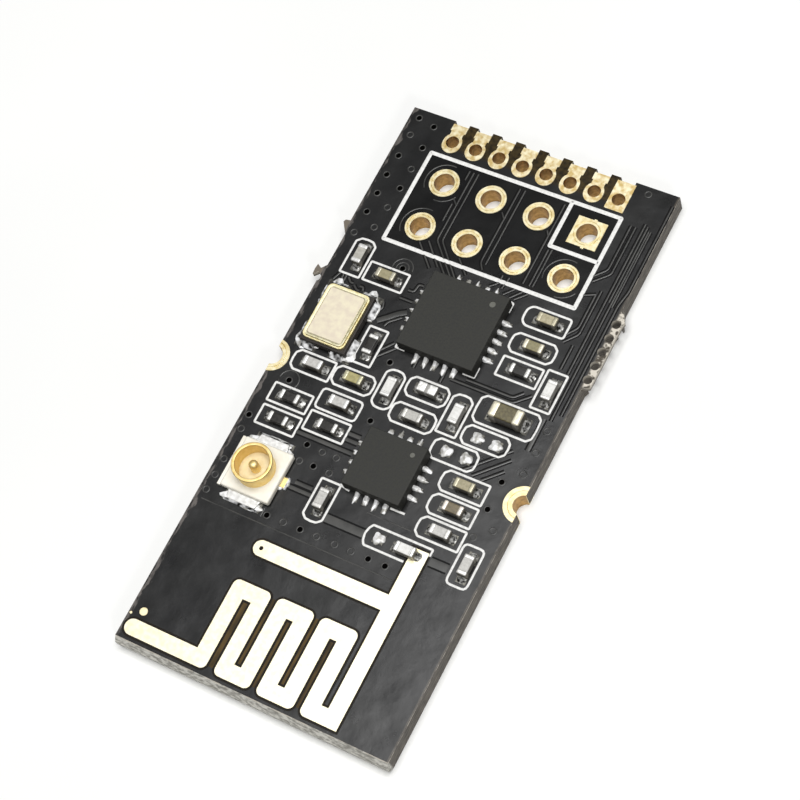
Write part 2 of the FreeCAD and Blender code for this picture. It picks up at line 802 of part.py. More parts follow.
def rounded_plate(body, name, width, length, height, radius, z):
    """A pad with its upright corners rounded."""
    plate = pad(body, name, rectangle_sketch(body, name + "_outline", width, length, "0", "0", z), height)
    doc.recompute()
    box = plate.Shape.BoundBox
    corners = vertical_edges(plate.Shape, lambda x, y: abs(x) > box.XMax - 1e-6 and abs(y) > box.YMax - 1e-6)
    rounding = body.newObject("PartDesign::Fillet", name + "_corners")
    rounding.Base = (plate, corners)
    bind(rounding, "Radius", radius)
    body.Tip = rounding
    return rounding


def crystal(lands, wedges):
    """The crystal: a ceramic base, a gilded seal ring round its cavity and a welded lid, face to face."""
    base = block(
        "crystal_base_block",
        "crystal_width", "crystal_length", "crystal_base_height", "crystal_x", "crystal_y",
        SEAT
    )
    node(base, "crystal_base")

    seal = new_body("crystal_ring_body")
    rounded_plate(
        seal, "ring_plate",
        "crystal_ring_width", "crystal_ring_length", "crystal_ring_height", "crystal_corner", "0"
    )
    window = rectangle_sketch(
        seal, "ring_window_outline", "crystal_ring_width - 2 * crystal_ring_band",
        "crystal_ring_length - 2 * crystal_ring_band", "0", "0", "crystal_ring_height"
    )
    seal.Tip = pocket(seal, "ring_window", window)
    seat(seal, "crystal_x", "crystal_y", f"{SEAT} + crystal_base_height")
    node(seal, "crystal_ring")

    lid = new_body("crystal_lid_body")
    rounded_plate(
        lid, "lid_plate", "crystal_lid_width", "crystal_lid_length", "crystal_lid_height",
        "crystal_corner - (crystal_ring_width - crystal_lid_width) / 2", "0"
    )
    seat(lid, "crystal_x", "crystal_y", f"{SEAT} + crystal_base_height + crystal_ring_height")
    node(lid, "crystal_lid")

    for side, x_sign in (("right", "+"), ("left", "-")):
        for end, y_sign in (("rear", "+"), ("front", "-")):
            x = f"crystal_x {x_sign} (crystal_width / 2 - crystal_land_width / 2 + solder_reach / 2)"
            y = f"crystal_y {y_sign} (crystal_length / 2 - crystal_land_length / 2 + solder_reach / 2)"
            lands.append(
                block(
                    f"crystal_land_{side}_{end}", "crystal_land_width + solder_reach",
                    "crystal_land_length + solder_reach", "plating", x, y, TOP
                )
            )
            wedge_y = f"crystal_y {y_sign} (crystal_length / 2 - crystal_land_length / 2)"
            wedges.append(
                solder_wedge(
                    f"crystal_solder_{side}_{end}", "crystal_land_length - 2 * crystal_corner_gap",
                    "solder_reach", "crystal_base_height / 2",
                    f"crystal_x {x_sign} crystal_width / 2", wedge_y,
                    SEAT, TURNS[side]
                )
            )
            wedge_x = f"crystal_x {x_sign} (crystal_width / 2 - crystal_land_width / 2)"
            wedges.append(
                solder_wedge(
                    f"crystal_solder_{end}_{side}", "crystal_land_width - 2 * crystal_corner_gap",
                    "solder_reach", "crystal_base_height / 2", wedge_x,
                    f"crystal_y {y_sign} crystal_length / 2", SEAT, TURNS[end]
                )
            )


def coax_connector(lands, wedges):
    """A board-mounted micro coax socket: a ring contact with two feet, a domed pin with a tail, and a plate
    that holds both apart."""
    at = ("coax_x", "coax_y")
    floor = f"({SEAT} + coax_body_height)"
    rim = f"({SEAT} + coax_height)"
    wall = "((coax_tube - coax_tube_bore) / 2)"
    tube = disc("coax_tube_wall", "coax_tube", f"{rim} - {floor}", *at, floor)
    lip = disc("coax_lip_wall", "coax_lip", "coax_lip_height", *at, f"{rim} - coax_lip_height")
    bore = disc("coax_bore", "coax_tube_bore", f"{rim} - {floor}", *at, floor)
    barrel = cut("coax_barrel", fuse("coax_barrel_blank", [tube, lip]), bore)
    shapes = [barrel]
    for end, sign in (("rear", "+"), ("front", "-")):
        inner = "(coax_tube_bore / 2)"
        reach = f"(coax_tab_reach - {inner})"
        foot_y = f"coax_y {sign} ({inner} + {reach} / 2)"
        foot = block(f"coax_foot_{end}", "coax_tab_width", reach, "coax_sheet", "coax_x", foot_y, SEAT)
        shapes.append(foot)
        riser_y = f"coax_y {sign} ({inner} + {wall} / 2)"
        riser = ("coax_riser_width", wall, "coax_body_height + coax_lip_height")
        shapes.append(block(f"coax_riser_{end}", *riser, "coax_x", riser_y, SEAT))
        land_y = f"coax_y {sign} (coax_tab_reach + coax_land_margin - coax_land_depth / 2)"
        land_width = "coax_tab_width + 2 * coax_land_margin"
        lands.append(
            block(f"coax_land_{end}", land_width, "coax_land_depth", "plating", "coax_x", land_y, TOP)
        )
        wedges.append(
            solder_wedge(
                f"coax_solder_{end}", "coax_tab_width", "coax_land_margin", "coax_sheet", "coax_x",
                f"coax_y {sign} coax_tab_reach", SEAT, TURNS[end]
            )
        )
    ground = fuse("coax_ground_piece", shapes)
    node(ground, "coax_ground_contact")

    stem_height = "(coax_pin_height - coax_pin_point)"
    stem = disc("coax_stem", "coax_pin", stem_height, *at, SEAT)
    point = doc.addObject("Part::Cone", "coax_point")
    bind(point, "Radius1", "coax_pin / 2")
    bind(point, "Radius2", "coax_pin_flat / 2")
    bind(point, "Height", "coax_pin_point")
    seat(point, *at, f"{SEAT} + {stem_height}")
    tail = block(
        "coax_tail", "coax_tail_reach", "coax_tail_width", "coax_tail_sheet", "coax_x + coax_tail_reach / 2",
        "coax_y", SEAT
    )
    signal = node(fuse("coax_signal_piece", [stem, point, tail]), "coax_signal_contact")
    lands.append(
        block(
            "coax_land_signal", "coax_land_depth", "coax_tail_width", "plating",
            "coax_x + coax_tail_reach + coax_land_margin - coax_land_depth / 2", "coax_y", TOP
        )
    )
    wedges.append(
        solder_wedge(
            "coax_solder_signal", "coax_tail_width", "coax_land_margin", "coax_tail_sheet",
            "coax_x + coax_tail_reach", "coax_y", SEAT, TURNS["right"]
        )
    )

    plate = block("coax_plate", "coax_body", "coax_body", "coax_body_height", *at, SEAT)
    ledge = block(
        "coax_plate_ledge", "coax_ledge", "coax_body", "coax_ledge_height",
        "coax_x - coax_body / 2 - coax_ledge / 2", "coax_y", SEAT
    )
    moulding = fuse("coax_moulding", [plate, ledge])
    without_ground = cut("coax_without_ground", moulding, ground)
    node(cut("coax_insulator_piece", without_ground, signal), "coax_insulator")


def spare_lands(lands):
    """Tinned lands of the footprints that hold no component."""
    for number in range(1, len(SPARE_LANDS) + 1):
        lands.append(
            block(
                f"spare_land_{number}", "land_inside + land_overhang", "small_width", "plating",
                f"spare_{number}_across", f"spare_{number}_along", TOP
            )
        )


def build_module():
    board_piece()
    header_eyelets()
    castellated_pads()
    edge_contacts()
    antenna_piece()
    lands = []
    component_wedges = []
    chip_wedges = []
    crystal_wedges = []
    coax_wedges = []
    chip("transceiver", lands, chip_wedges)
    chip("amplifier", lands, chip_wedges)
    crystal(lands, crystal_wedges)
    coax_connector(lands, coax_wedges)
    for name, kind, axis, across, along in COMPONENTS:
        component(name, kind, axis, lands, component_wedges)
    spare_lands(lands)
    node(group("land_set", lands), "component_lands")
    node(group("component_solder_set", component_wedges), "component_solder")
    node(group("chip_solder_set", chip_wedges), "chip_solder")
    node(group("crystal_solder_set", crystal_wedges), "crystal_solder")
    node(group("coax_solder_set", coax_wedges), "coax_solder")


def check_and_export():
    """Stops at any failed object, then writes each finished piece."""
    doc.recompute()
    for item in doc.Objects:
        if "Invalid" in item.State or "Error" in item.State:
            raise RuntimeError(f"{item.Name} failed: {item.State}")
    os.makedirs("parts", exist_ok=True)
    for item in nodes:
        shape = item.Shape
        if shape.isNull() or not shape.isValid() or not shape.Solids:
            raise RuntimeError(f"{item.Label} has no valid solid")
    for item in nodes:
        item.Shape.exportStep(os.path.join("parts", item.Label + ".step"))


sheet_words = list(DRIVING_SIZES)
sheet_words += [f"{row[0]}_{way}" for row in COMPONENTS for way in ("across", "along")]
for number in range(1, len(SPARE_LANDS) + 1):
    sheet_words += [f"spare_{number}_across", f"spare_{number}_along"]
fill_sheet()
build_module()
check_and_export()
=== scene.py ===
import math
from functools import partial, reduce

import bpy
from bpy.props import FloatProperty, FloatVectorProperty, IntProperty, PointerProperty
from mathutils import Matrix, Vector


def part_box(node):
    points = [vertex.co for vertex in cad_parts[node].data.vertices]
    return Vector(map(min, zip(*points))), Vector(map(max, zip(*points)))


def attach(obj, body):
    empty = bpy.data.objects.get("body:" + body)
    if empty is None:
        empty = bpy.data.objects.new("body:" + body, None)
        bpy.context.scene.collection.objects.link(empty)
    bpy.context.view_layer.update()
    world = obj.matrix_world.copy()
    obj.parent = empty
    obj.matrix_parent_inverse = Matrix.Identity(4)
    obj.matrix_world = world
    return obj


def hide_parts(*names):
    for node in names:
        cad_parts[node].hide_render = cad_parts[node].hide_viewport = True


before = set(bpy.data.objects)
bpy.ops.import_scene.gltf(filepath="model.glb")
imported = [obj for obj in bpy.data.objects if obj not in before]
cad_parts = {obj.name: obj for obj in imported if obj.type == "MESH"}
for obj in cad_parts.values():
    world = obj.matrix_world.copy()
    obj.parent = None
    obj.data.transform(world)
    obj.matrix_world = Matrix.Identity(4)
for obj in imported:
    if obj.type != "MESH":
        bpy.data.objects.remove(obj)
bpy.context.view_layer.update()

bl_info = {
    "name": "Wireless transceiver module",
    "version": (1, 0, 0),
    "blender": (4, 5, 0),
    "location": "View3D > Sidebar > Module",
    "description": "Builds the looks of a small radio board round its solid frame",
    "category": "Object",
}

# Pieces are modelled in millimetres and shrunk to metres as they are finished.
MM = 0.001
# The radius, in millimetres, at which a turned outline meets its axis, before its doubles are merged.
AXIS = 0.0005

# The board's own places, in millimetres from its centre: where the mask stops on both sides, the long
# sides, the front edge, the two ends of the scars, and the front of the strip that holds the edge pads.
MASK_EDGE = 7.07
SIDE = 7.12
FRONT = -14.78
SCAR_FRONT, SCAR_REAR = 4.2, 8.5
PAD_STRIP = 13.2

# The printed frame round the header.
FRAME_LEFT, FRAME_RIGHT = -5.14, 5.03
FRAME_FRONT, FRAME_REAR = 7.73, 12.78


# Colour and node helpers.

def linear(code):
    """The linear colour of an sRGB hex code."""
    channels = [int(code[i:i + 2], 16) / 255 for i in (1, 3, 5)]
    return tuple(c / 12.92 if c <= 0.04045 else ((c + 0.055) / 1.055) ** 2.4 for c in channels) + (1.0,)


def feed(node, inputs):
    """Sets a node's inputs.

    Each is a constant, a hex code, a socket, or a node whose first live output is taken."""
    for key, value in inputs.items():
        if isinstance(value, bpy.types.Node):
            value = next(socket for socket in value.outputs if socket.enabled)
        if isinstance(value, bpy.types.NodeSocket):
            node.id_data.links.new(value, node.inputs[key])
        else:
            node.inputs[key].default_value = linear(value) if isinstance(value, str) else value
    return node


def add_node(tree, kind, inputs=None, **settings):
    """Adds a shader node with its settings and inputs."""
    node = tree.nodes.new("ShaderNode" + kind)
    for key, value in settings.items():
        setattr(node, key, value)
    return feed(node, inputs or {})


def new_material(name):
    """A new material, its shader, and the function that adds a node to it."""
    material = bpy.data.materials.new(name)
    material.use_nodes = True
    return material, material.node_tree.nodes["Principled BSDF"], partial(add_node, material.node_tree)


# Patterns that several nodes make together.

def blotches(add, size_mm, detail=3.0, stretch=(1, 1, 1)):
    """Noise whose blotches are about size_mm wide on the real object."""
    place = add("Mapping", {"Vector": add("TexCoord").outputs["Object"], "Scale": stretch})
    return add("TexNoise", {"Vector": place, "Scale": 1 / (size_mm * MM), "Detail": detail})


def layer(add, under, over, value, low, high, most=1.0):
    """The colour over laid on the colour under, up to the share most, as value goes from low to high."""
    share = add("MapRange", {"Value": value, "From Min": low, "From Max": high, "To Max": most})
    # Inputs 6 and 7 are a Mix node's two colours.
    return add("Mix", {"Factor": share, 6: under, 7: over}, data_type="RGBA")


def overlap(add, *masks):
    """Where every mask is 1."""
    return reduce(lambda a, b: add("Math", {0: a, 1: b}, operation="MULTIPLY"), masks)


def within(add, value, low, high, soft):
    """1 between low and high, and 0 outside them, with a soft border on the inside."""
    rise = add("MapRange", {"Value": value, "From Min": low, "From Max": low + soft})
    fall = add("MapRange", {"Value": value, "From Min": high, "From Max": high - soft})
    return overlap(add, rise, fall)


def surface(name, dark, light, size_mm, roughness, spread=0.06, metallic=0.0, ior=1.5, depth_mm=0.0,
            detail=3.0, stretch=(1, 1, 1), sides=None, shine=0.5):
    """A material whose colour, roughness and fine relief all vary over blotches of the given real size.

    Upright faces turn to the sides colour where one is given, a painted shade on the sides; shine scales the
    mirror reflection."""
    material, shader, add = new_material(name)
    grain = blotches(add, size_mm, detail, stretch)
    colour = layer(add, dark, light, grain, 0.35, 0.65)
    # The sides colour is painted shade on faces that stand upright.
    if sides:
        upward = add("SeparateXYZ", {0: add("NewGeometry").outputs["Normal"]}).outputs["Z"]
        colour = layer(add, sides, colour, upward, 0.2, 0.8)
    rough = add("MapRange", {"Value": grain, "From Min": 0.3, "From Max": 0.7,
                             "To Min": roughness - spread, "To Max": roughness + spread})
    feed(shader, {"Base Color": colour, "Roughness": rough, "Metallic": metallic, "IOR": ior,
                  "Specular IOR Level": shine})
    if depth_mm:
        feed(shader, {"Normal": add("Bump", {"Height": grain, "Distance": depth_mm * MM})})
    return material


def board_material():
    """Black solder mask printed over copper and glass epoxy; the routed edges show the bare glass epoxy."""
    material, shader, add = new_material("solder_mask")
    in_mm = add("VectorMath", {0: add("TexCoord").outputs["Object"], "Scale": 1 / MM}, operation="SCALE")
    across, along, height = add("SeparateXYZ", {0: in_mm}).outputs
    facing = add("SeparateXYZ", {0: add("NewGeometry").outputs["True Normal"]}).outputs["Z"]
    top_face = add("Math", {0: facing, 1: 0.0}, operation="GREATER_THAN")
    level = add("Math", {0: facing}, operation="ABSOLUTE")
    upright = add("Math", {0: level, 1: 0.9}, operation="LESS_THAN")

    # The mask stops a little short of the sides, where the torn edges show pale glass.
    wander = add("Math", {0: blotches(add, 0.4, 4.0), 1: 0.12}, operation="MULTIPLY")
    from_middle = add("Math", {0: across}, operation="ABSOLUTE")
    out = add("Math", {0: from_middle, 1: wander}, operation="ADD")
    ink = layer(add, "#0c0c0d", "#121211", blotches(add, 2.5), 0.35, 0.65)
    ink = layer(add, ink, "#4a443c", out, MASK_EDGE, SIDE)

    # Between the edge pads the mask looks worn thin, with the laminate's brown coming through.
    columns = [node_centre(f"castellated_pad_{number}").x for number in (1, 8)]
    beside_pads = within(add, across, min(columns), max(columns), 0.1)
    strip = add("MapRange", {"Value": along, "From Min": PAD_STRIP, "From Max": PAD_STRIP + 0.3})
    worn = overlap(add, strip, top_face, beside_pads)
    thin = layer(add, "#231b0c", "#40341a", blotches(add, 0.2), 0.35, 0.65)
    ink = layer(add, ink, thin, worn, 0, 1)

    # Along the left edge the mask is flaked off in a wavy strip, and the glass strands show.
    sway = add("Math", {0: blotches(add, 0.8), 1: 0.6}, operation="MULTIPLY")
    leftward = add("Math", {0: sway, 1: across}, operation="SUBTRACT")
    strands = layer(add, "#1c1a19", "#625d59", blotches(add, 0.12, 3.0, (1, 0.25, 1)), 0.42, 0.58)
    ink = layer(add, ink, strands, leftward, SIDE + 0.1, SIDE + 0.13)

    # In the right scar the torn cloth is pale and tufted, and in the left one brown.
    in_scar = within(add, along, SCAR_FRONT, SCAR_REAR, 0.2)
    past_side = add("MapRange", {"Value": out, "From Min": SIDE, "From Max": SIDE + 0.08})
    torn = overlap(add, past_side, in_scar)
    tufts = layer(add, "#4a4338", "#d6cfc1", blotches(add, 0.22), 0.44, 0.56)
    scar = layer(add, "#6f665a", tufts, across, 0, 0.001)
    ink = layer(add, ink, scar, torn, 0, 1)

    # Sawn and routed sides: brown where the resin is bare, with pale cloth layers and a light top edge.
    cloth = blotches(add, 0.16, 4.0, (0.25, 0.25, 1.6))
    side = layer(add, "#3a352f", "#756e64", cloth, 0.35, 0.7)
    sawn = layer(add, "#8c8a82", "#d7d5cc", blotches(add, 0.13, 5.0, (0.45, 1, 1.3)), 0.4, 0.6)
    side = layer(add, side, sawn, along, FRONT + 0.08, FRONT, most=0.85)
    patches = layer(add, side, "#cfc7b8", wander, 0.05, 0.065)
    side = layer(add, side, patches, height, 0.96, 1.02)
    pale = layer(add, side, "#c9c2b4", height, 0.72, 0.95)
    side = layer(add, side, pale, in_scar, 0, 1)

    # The sides and the scars are dull; the mask's gloss varies a little.
    gloss = add("MapRange", {"Value": blotches(add, 1.2), "From Min": 0.3, "From Max": 0.7,
                             "To Min": 0.27, "To Max": 0.32})
    dull = add("Math", {0: upright, 1: torn}, operation="MAXIMUM")
    rough = add("Math", {0: dull, 1: 0.45, 2: gloss}, operation="MULTIPLY_ADD")

    # Fine orange peel and slow waves in the mask, and deep cloth layers on the sides.
    cloth_depth = overlap(add, cloth, upright)
    peel = add("Math", {0: cloth_depth, 1: 7.0, 2: blotches(add, 0.35, 2.0)}, operation="MULTIPLY_ADD")
    peel = add("Math", {0: blotches(add, 1.7, 1.5), 1: 8.0, 2: peel}, operation="MULTIPLY_ADD")

    # Inside the header's frame no copper backs the mask, and it looks deeper.
    bare_x = within(add, across, FRAME_LEFT - 0.03, FRAME_RIGHT + 0.03, 0.1)
    bare_y = within(add, along, FRAME_FRONT - 0.03, FRAME_REAR + 0.03, 0.1)
    deep = add("Math", {0: overlap(add, bare_x, bare_y, top_face), 1: worn}, operation="MAXIMUM")
    mirror = add("MapRange", {"Value": deep, "To Min": 0.5, "To Max": 0.24})
    feed(shader, {"Base Color": layer(add, ink, side, upright, 0, 1), "Roughness": rough, "IOR": 1.55,
                  "Normal": add("Bump", {"Height": peel, "Distance": 0.004 * MM}),
                  "Specular IOR Level": mirror})
    return material


# Modelling helpers, in millimetres.

def only(obj):
    """Selects this object alone and makes it the active one."""
    bpy.ops.object.select_all(action="DESELECT")
    obj.select_set(True)
    bpy.context.view_layer.objects.active = obj


def made(name):
    """Names the object that an operator has just added, and bakes its place into its mesh."""
    obj = bpy.context.view_layer.objects.active
    obj.name = name
    obj.data.name = name
    only(obj)
    bpy.ops.object.transform_apply(location=True, rotation=True, scale=True)
    return obj


def edit(obj, action="SELECT"):
    """Enters edit mode with every vertex selected, or with DESELECT none."""
    only(obj)
    bpy.ops.object.mode_set(mode="EDIT")
    bpy.ops.mesh.select_mode(type="VERT")
    bpy.ops.mesh.select_all(action=action)


def done():
    """Leaves edit mode."""
    bpy.ops.object.mode_set(mode="OBJECT")


def block(name, low, high, bevel=0.0, segments=3):
    """A box from its low to its high corner, with its edges rounded by bevel."""
    low, high = Vector(low), Vector(high)
    bpy.ops.object.select_all(action="DESELECT")
    bpy.ops.mesh.primitive_cube_add(size=1, location=(low + high) / 2)
    obj = bpy.context.object
    obj.scale = high - low
    made(name)
    if bevel:
        edit(obj)
        bpy.ops.mesh.bevel(offset=bevel, segments=segments, affect="EDGES")
        done()
    return obj


def rod(name, centre, radius, low, high, sides=48):
    """An upright cylinder round centre, from one level to another."""
    bpy.ops.object.select_all(action="DESELECT")
    bpy.ops.mesh.primitive_cylinder_add(vertices=sides, radius=radius, depth=high - low,
                                        location=(centre[0], centre[1], (low + high) / 2))
    return made(name)


def lathe(name, profile, centre, steps):
    """A closed outline of radius and height pairs, spun round an upright axis at centre.

    A centre of three numbers lifts it to the third."""
    mesh = bpy.data.meshes.new(name)
    count = len(profile)
    places = [(radius, 0, height) for radius, height in profile]
    mesh.from_pydata(places, [(i, (i + 1) % count) for i in range(count)], [])
    obj = bpy.data.objects.new(name, mesh)
    bpy.context.scene.collection.objects.link(obj)
    edit(obj)
    bpy.ops.mesh.spin(steps=steps, angle=2 * math.pi, center=(0, 0, 0), axis=(0, 0, 1))
    bpy.ops.mesh.select_all(action="SELECT")
    bpy.ops.mesh.remove_doubles(threshold=0.0005)
    bpy.ops.mesh.normals_make_consistent(inside=False)
    done()
    level = centre[2] if len(centre) > 2 else 0
    return move(obj, (centre[0], centre[1], level))


def move(obj, shift):
    only(obj)
    bpy.ops.transform.translate(value=shift)
    bpy.ops.object.transform_apply(location=True, rotation=True, scale=True)
    return obj


def turn(obj, degrees):
    """Turns the object anticlockwise about the upright axis, seen from above."""
    only(obj)
    bpy.ops.transform.rotate(value=-math.radians(degrees), orient_axis="Z", center_override=(0, 0, 0))
    bpy.ops.object.transform_apply(location=True, rotation=True, scale=True)


def twin(obj, name):
    """A copy with its own mesh."""
    only(obj)
    bpy.ops.object.duplicate(linked=False)
    copy = bpy.context.view_layer.objects.active
    copy.name = name
    copy.data.name = name
    return copy


def drop(*objs):
    for obj in objs:
        bpy.data.objects.remove(obj)


def join(name, objs):
    bpy.ops.object.select_all(action="DESELECT")
    for obj in objs:
        obj.select_set(True)
    bpy.context.view_layer.objects.active = objs[0]
    bpy.ops.object.join()
    return made(name)


def boolean(obj, tool, operation):
    """Cuts tool from obj, or unites them, and deletes tool."""
    only(obj)
    modifier = obj.modifiers.new("shape", "BOOLEAN")
    modifier.operation = operation
    modifier.object = tool
    modifier.solver = "EXACT"
    bpy.ops.object.modifier_apply(modifier=modifier.name)
    drop(tool)


def rounded(points, radius, closed):
    """The path with each corner replaced by a short curve."""
    path = []
    count = len(points)
    for i, point in enumerate(points):
        here = Vector(point)
        if not closed and i in (0, count - 1):
            path.append(here)
            continue
        before, after = Vector(points[i - 1]) - here, Vector(points[(i + 1) % count]) - here
        reach = min(radius, before.length * 0.45, after.length * 0.45)
        start, end = here + before.normalized() * reach, here + after.normalized() * reach
        for step in range(4):
            t = step / 3
            path.append(start * (1 - t) ** 2 + here * (2 * t * (1 - t)) + end * t * t)
    return path


def strokes(name, paths, width, height, level, corner=0.05):
    """Flat rounded lines along paths, each a list of points and whether it closes."""
    curve = bpy.data.curves.new(name, "CURVE")
    curve.dimensions = "3D"
    curve.bevel_depth = width / 2
    curve.bevel_resolution = 1
    curve.use_fill_caps = True
    for points, closed, *own in paths:
        path = rounded(points, own[0] if own else corner, closed)
        spline = curve.splines.new("POLY")
        spline.points.add(len(path) - 1)
        for point, place in zip(spline.points, path):
            point.co = (place[0], place[1], 0, 1)
        spline.use_cyclic_u = closed
    obj = bpy.data.objects.new(name, curve)
    bpy.context.scene.collection.objects.link(obj)
    only(obj)
    bpy.ops.object.convert(target="MESH")
    obj = bpy.context.view_layer.objects.active
    bpy.ops.transform.resize(value=(1, 1, 2 * height / width), center_override=(0, 0, 0))
    bpy.ops.transform.translate(value=(0, 0, level))
    return made(name)


def arc(centre, radius, start, end):
    """Points along an arc, in degrees anticlockwise from +X; more of them where it is nearly a circle."""
    steps = 24 if end - start > 270 else 14
    angles = [math.radians(start + (end - start) * i / steps) for i in range(steps + 1)]
    return [(centre[0] + radius * math.cos(a), centre[1] + radius * math.sin(a)) for a in angles]


def smooth(obj, sharpest=40):
    """Shades the piece smooth over every edge that turns less than sharpest, in degrees."""
    only(obj)
    bpy.ops.object.shade_smooth_by_angle(angle=math.radians(sharpest))
    modifier = obj.modifiers.new("weights", "WEIGHTED_NORMAL")
    modifier.keep_sharp = True
    bpy.ops.object.modifier_apply(modifier=modifier.name)


def paint(obj, *materials):
    """Gives the object its materials; faces keep their slot numbers."""
    indices = [polygon.material_index for polygon in obj.data.polygons]
    obj.data.materials.clear()
    for material in materials:
        obj.data.materials.append(material)
    for polygon, index in zip(obj.data.polygons, indices):
        polygon.material_index = min(index, len(materials) - 1)
    return obj


def settle(obj, slot, *nodes):
    """Shrinks a piece to metres and hands it to the frame, in the place of the named nodes."""
    smooth(obj)
    bpy.ops.transform.resize(value=(MM, MM, MM), center_override=(0, 0, 0))
    bpy.ops.object.transform_apply(location=True, rotation=True, scale=True)
    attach(obj, "root")
    if nodes:
        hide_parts(*nodes)


def node_box(name):
    """A solid's lowest and highest corner, in millimetres."""
    low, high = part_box(name)
    return low / MM, high / MM


def node_centre(name):
    low, high = node_box(name)
    return (low + high) / 2


def blob(name, reach, width, climb, sink=0.05):
    """A solder fillet along +X: it climbs a wall at x = 0 and thins out to a round toe at x = reach."""
    bpy.ops.object.select_all(action="DESELECT")
    bpy.ops.mesh.primitive_grid_add(x_subdivisions=10, y_subdivisions=10, size=2, location=(0, 0, 0))
    obj = made(name)
    for vertex in obj.data.vertices:
        out, side = (vertex.co.x + 1) / 2, vertex.co.y
        round_toe = math.sqrt(max(0.0, 1 - 0.55 * side * side))
        fall = (1 - out) ** 1.7 * 0.75 + (1 - out * out) * 0.25
        crown = (1 - abs(side) ** 3) ** 0.6
        narrow = 1 - 0.12 * out
        vertex.co = ((reach + sink) * out * round_toe - sink, side * width / 2 * narrow, climb * fall * crown)
    edit(obj, "DESELECT")
    bpy.ops.mesh.select_non_manifold()
    bpy.ops.mesh.edge_face_add()
    bpy.ops.mesh.select_all(action="SELECT")
    bpy.ops.mesh.normals_make_consistent(inside=False)
    done()
    return obj


# The looks' own sizes and colours.

def size_setting(name, description, default, precision=5):
    """A size that a user can change, in metres."""
    return FloatProperty(name=name, description=description, default=default, precision=precision,
                         unit="LENGTH")


def colour_setting(name, description, code):
    """A colour that a user can change."""
    return FloatVectorProperty(name=name, description=description, default=linear(code), size=4,
                               min=0, max=1, subtype="COLOR")


class BoardLooks(bpy.types.PropertyGroup):
    """The print, the covered copper and the vias."""
    line_width: size_setting("Line width", "Width of the printed outlines", 0.00011)
    frame_width: size_setting("Frame width", "Width of the printed frame round the header", 0.0002)
    ink_height: size_setting("Ink height", "How far the print stands above the mask", 0.00002, 6)
    ink_light: colour_setting("Ink", "Colour of the print", "#f4f3f0")
    ink_dark: colour_setting("Thin ink", "Colour of the print where it is thin", "#dddcd8")
    trace_height: size_setting("Trace height", "How far copper lifts the mask over it", 0.000012, 6)
    channel_width: size_setting("Channels", "Width added to a track for the gaps on both sides", 0.00014)
    via_size: size_setting("Via", "Outer diameter of a via's ring", 0.00038)


class MetalLooks(bpy.types.PropertyGroup):
    """The plated pads and the solder."""
    edge_round: size_setting("Edge rounding", "Rounding on plated edges", 0.00001, 6)
    steps: IntProperty(name="Steps", description="Sides of a turned piece", default=64, min=16, max=128)
    gold_light: colour_setting("Gold", "Colour of the header's pads and the edge contacts", "#f5edcd")
    gold_dark: colour_setting("Thin gold", "Their colour where the plating is thin", "#e4d29c")
    toe: size_setting("Solder toe", "How far solder runs out past a component", 0.00026)


class StageLooks(bpy.types.PropertyGroup):
    """The floor, the lights and the camera."""
    key_power: FloatProperty(name="Key light", description="Power of the overhead light, in watts",
                             default=1.73, unit="POWER")
    glint_power: FloatProperty(name="Glint light", default=0.13, unit="POWER",
                               description="Power of the light beside the camera, in watts")
    ambient: FloatProperty(name="Ambient", description="Strength of the light from all round", default=0.12)
    lens: FloatProperty(name="Lens", description="Focal length, in millimetres", default=98.07, unit="CAMERA")


# What is printed and etched on the board, in millimetres from its centre.

# Outlines round the components: left, right, front and rear line, sides that bulge, corners' rounding.
OUTLINES = [
    (-6.31, -5.26, 5.39, 7.37, "T", 0.05), (-5.07, -2.98, 5.41, 6.42, "", 0.05),
    (-3.52, -2.53, 1.42, 3.37, "", 0.05), (-6.20, -4.07, 0.0, 1.03, "L", 0.05),
    (-3.98, -1.85, 0.04, 1.04, "LR", 0.05), (-4.04, -1.89, -1.32, -0.29, "", 0.22),
    (-6.33, -4.27, -1.87, -0.91, "", 0.05), (-6.31, -4.24, -3.09, -2.11, "", 0.05),
    (-4.03, -1.91, -2.51, -1.51, "", 0.05), (-1.66, -0.67, -0.24, 1.79, "TB", 0.1),
    (-0.46, 1.65, 0.85, 1.86, "LR", 0.05), (-0.58, 1.69, -0.57, 0.44, "LR", 0.05),
    (1.83, 2.84, -0.22, 1.85, "T", 0.05), (3.0, 5.23, 6.11, 7.14, "L", 0.15),
    (3.02, 5.29, 4.66, 5.68, "LR", 0.05), (3.09, 5.13, 3.35, 4.37, "", 0.05),
    (5.32, 6.29, 2.49, 4.49, "", 0.05), (3.06, 6.15, 0.88, 2.26, "LR", 0.05),
    (3.05, 5.36, -0.29, 0.68, "LR", 0.05), (2.04, 4.34, -1.48, -0.45, "LR", 0.05),
    (3.17, 5.44, -2.72, -1.69, "L", 0.05), (3.17, 5.46, -3.90, -2.91, "L", 0.05),
    (3.20, 5.46, -5.09, -4.09, "L", 0.05), (5.61, 6.63, -6.54, -4.54, "", 0.25),
    (-1.94, -0.93, -6.40, -4.32, "B", 0.05),
]
# How far a bulging side stands out in its middle, and how much its corners are cut.
BULGE = 0.03
CHAMFER = 0.22
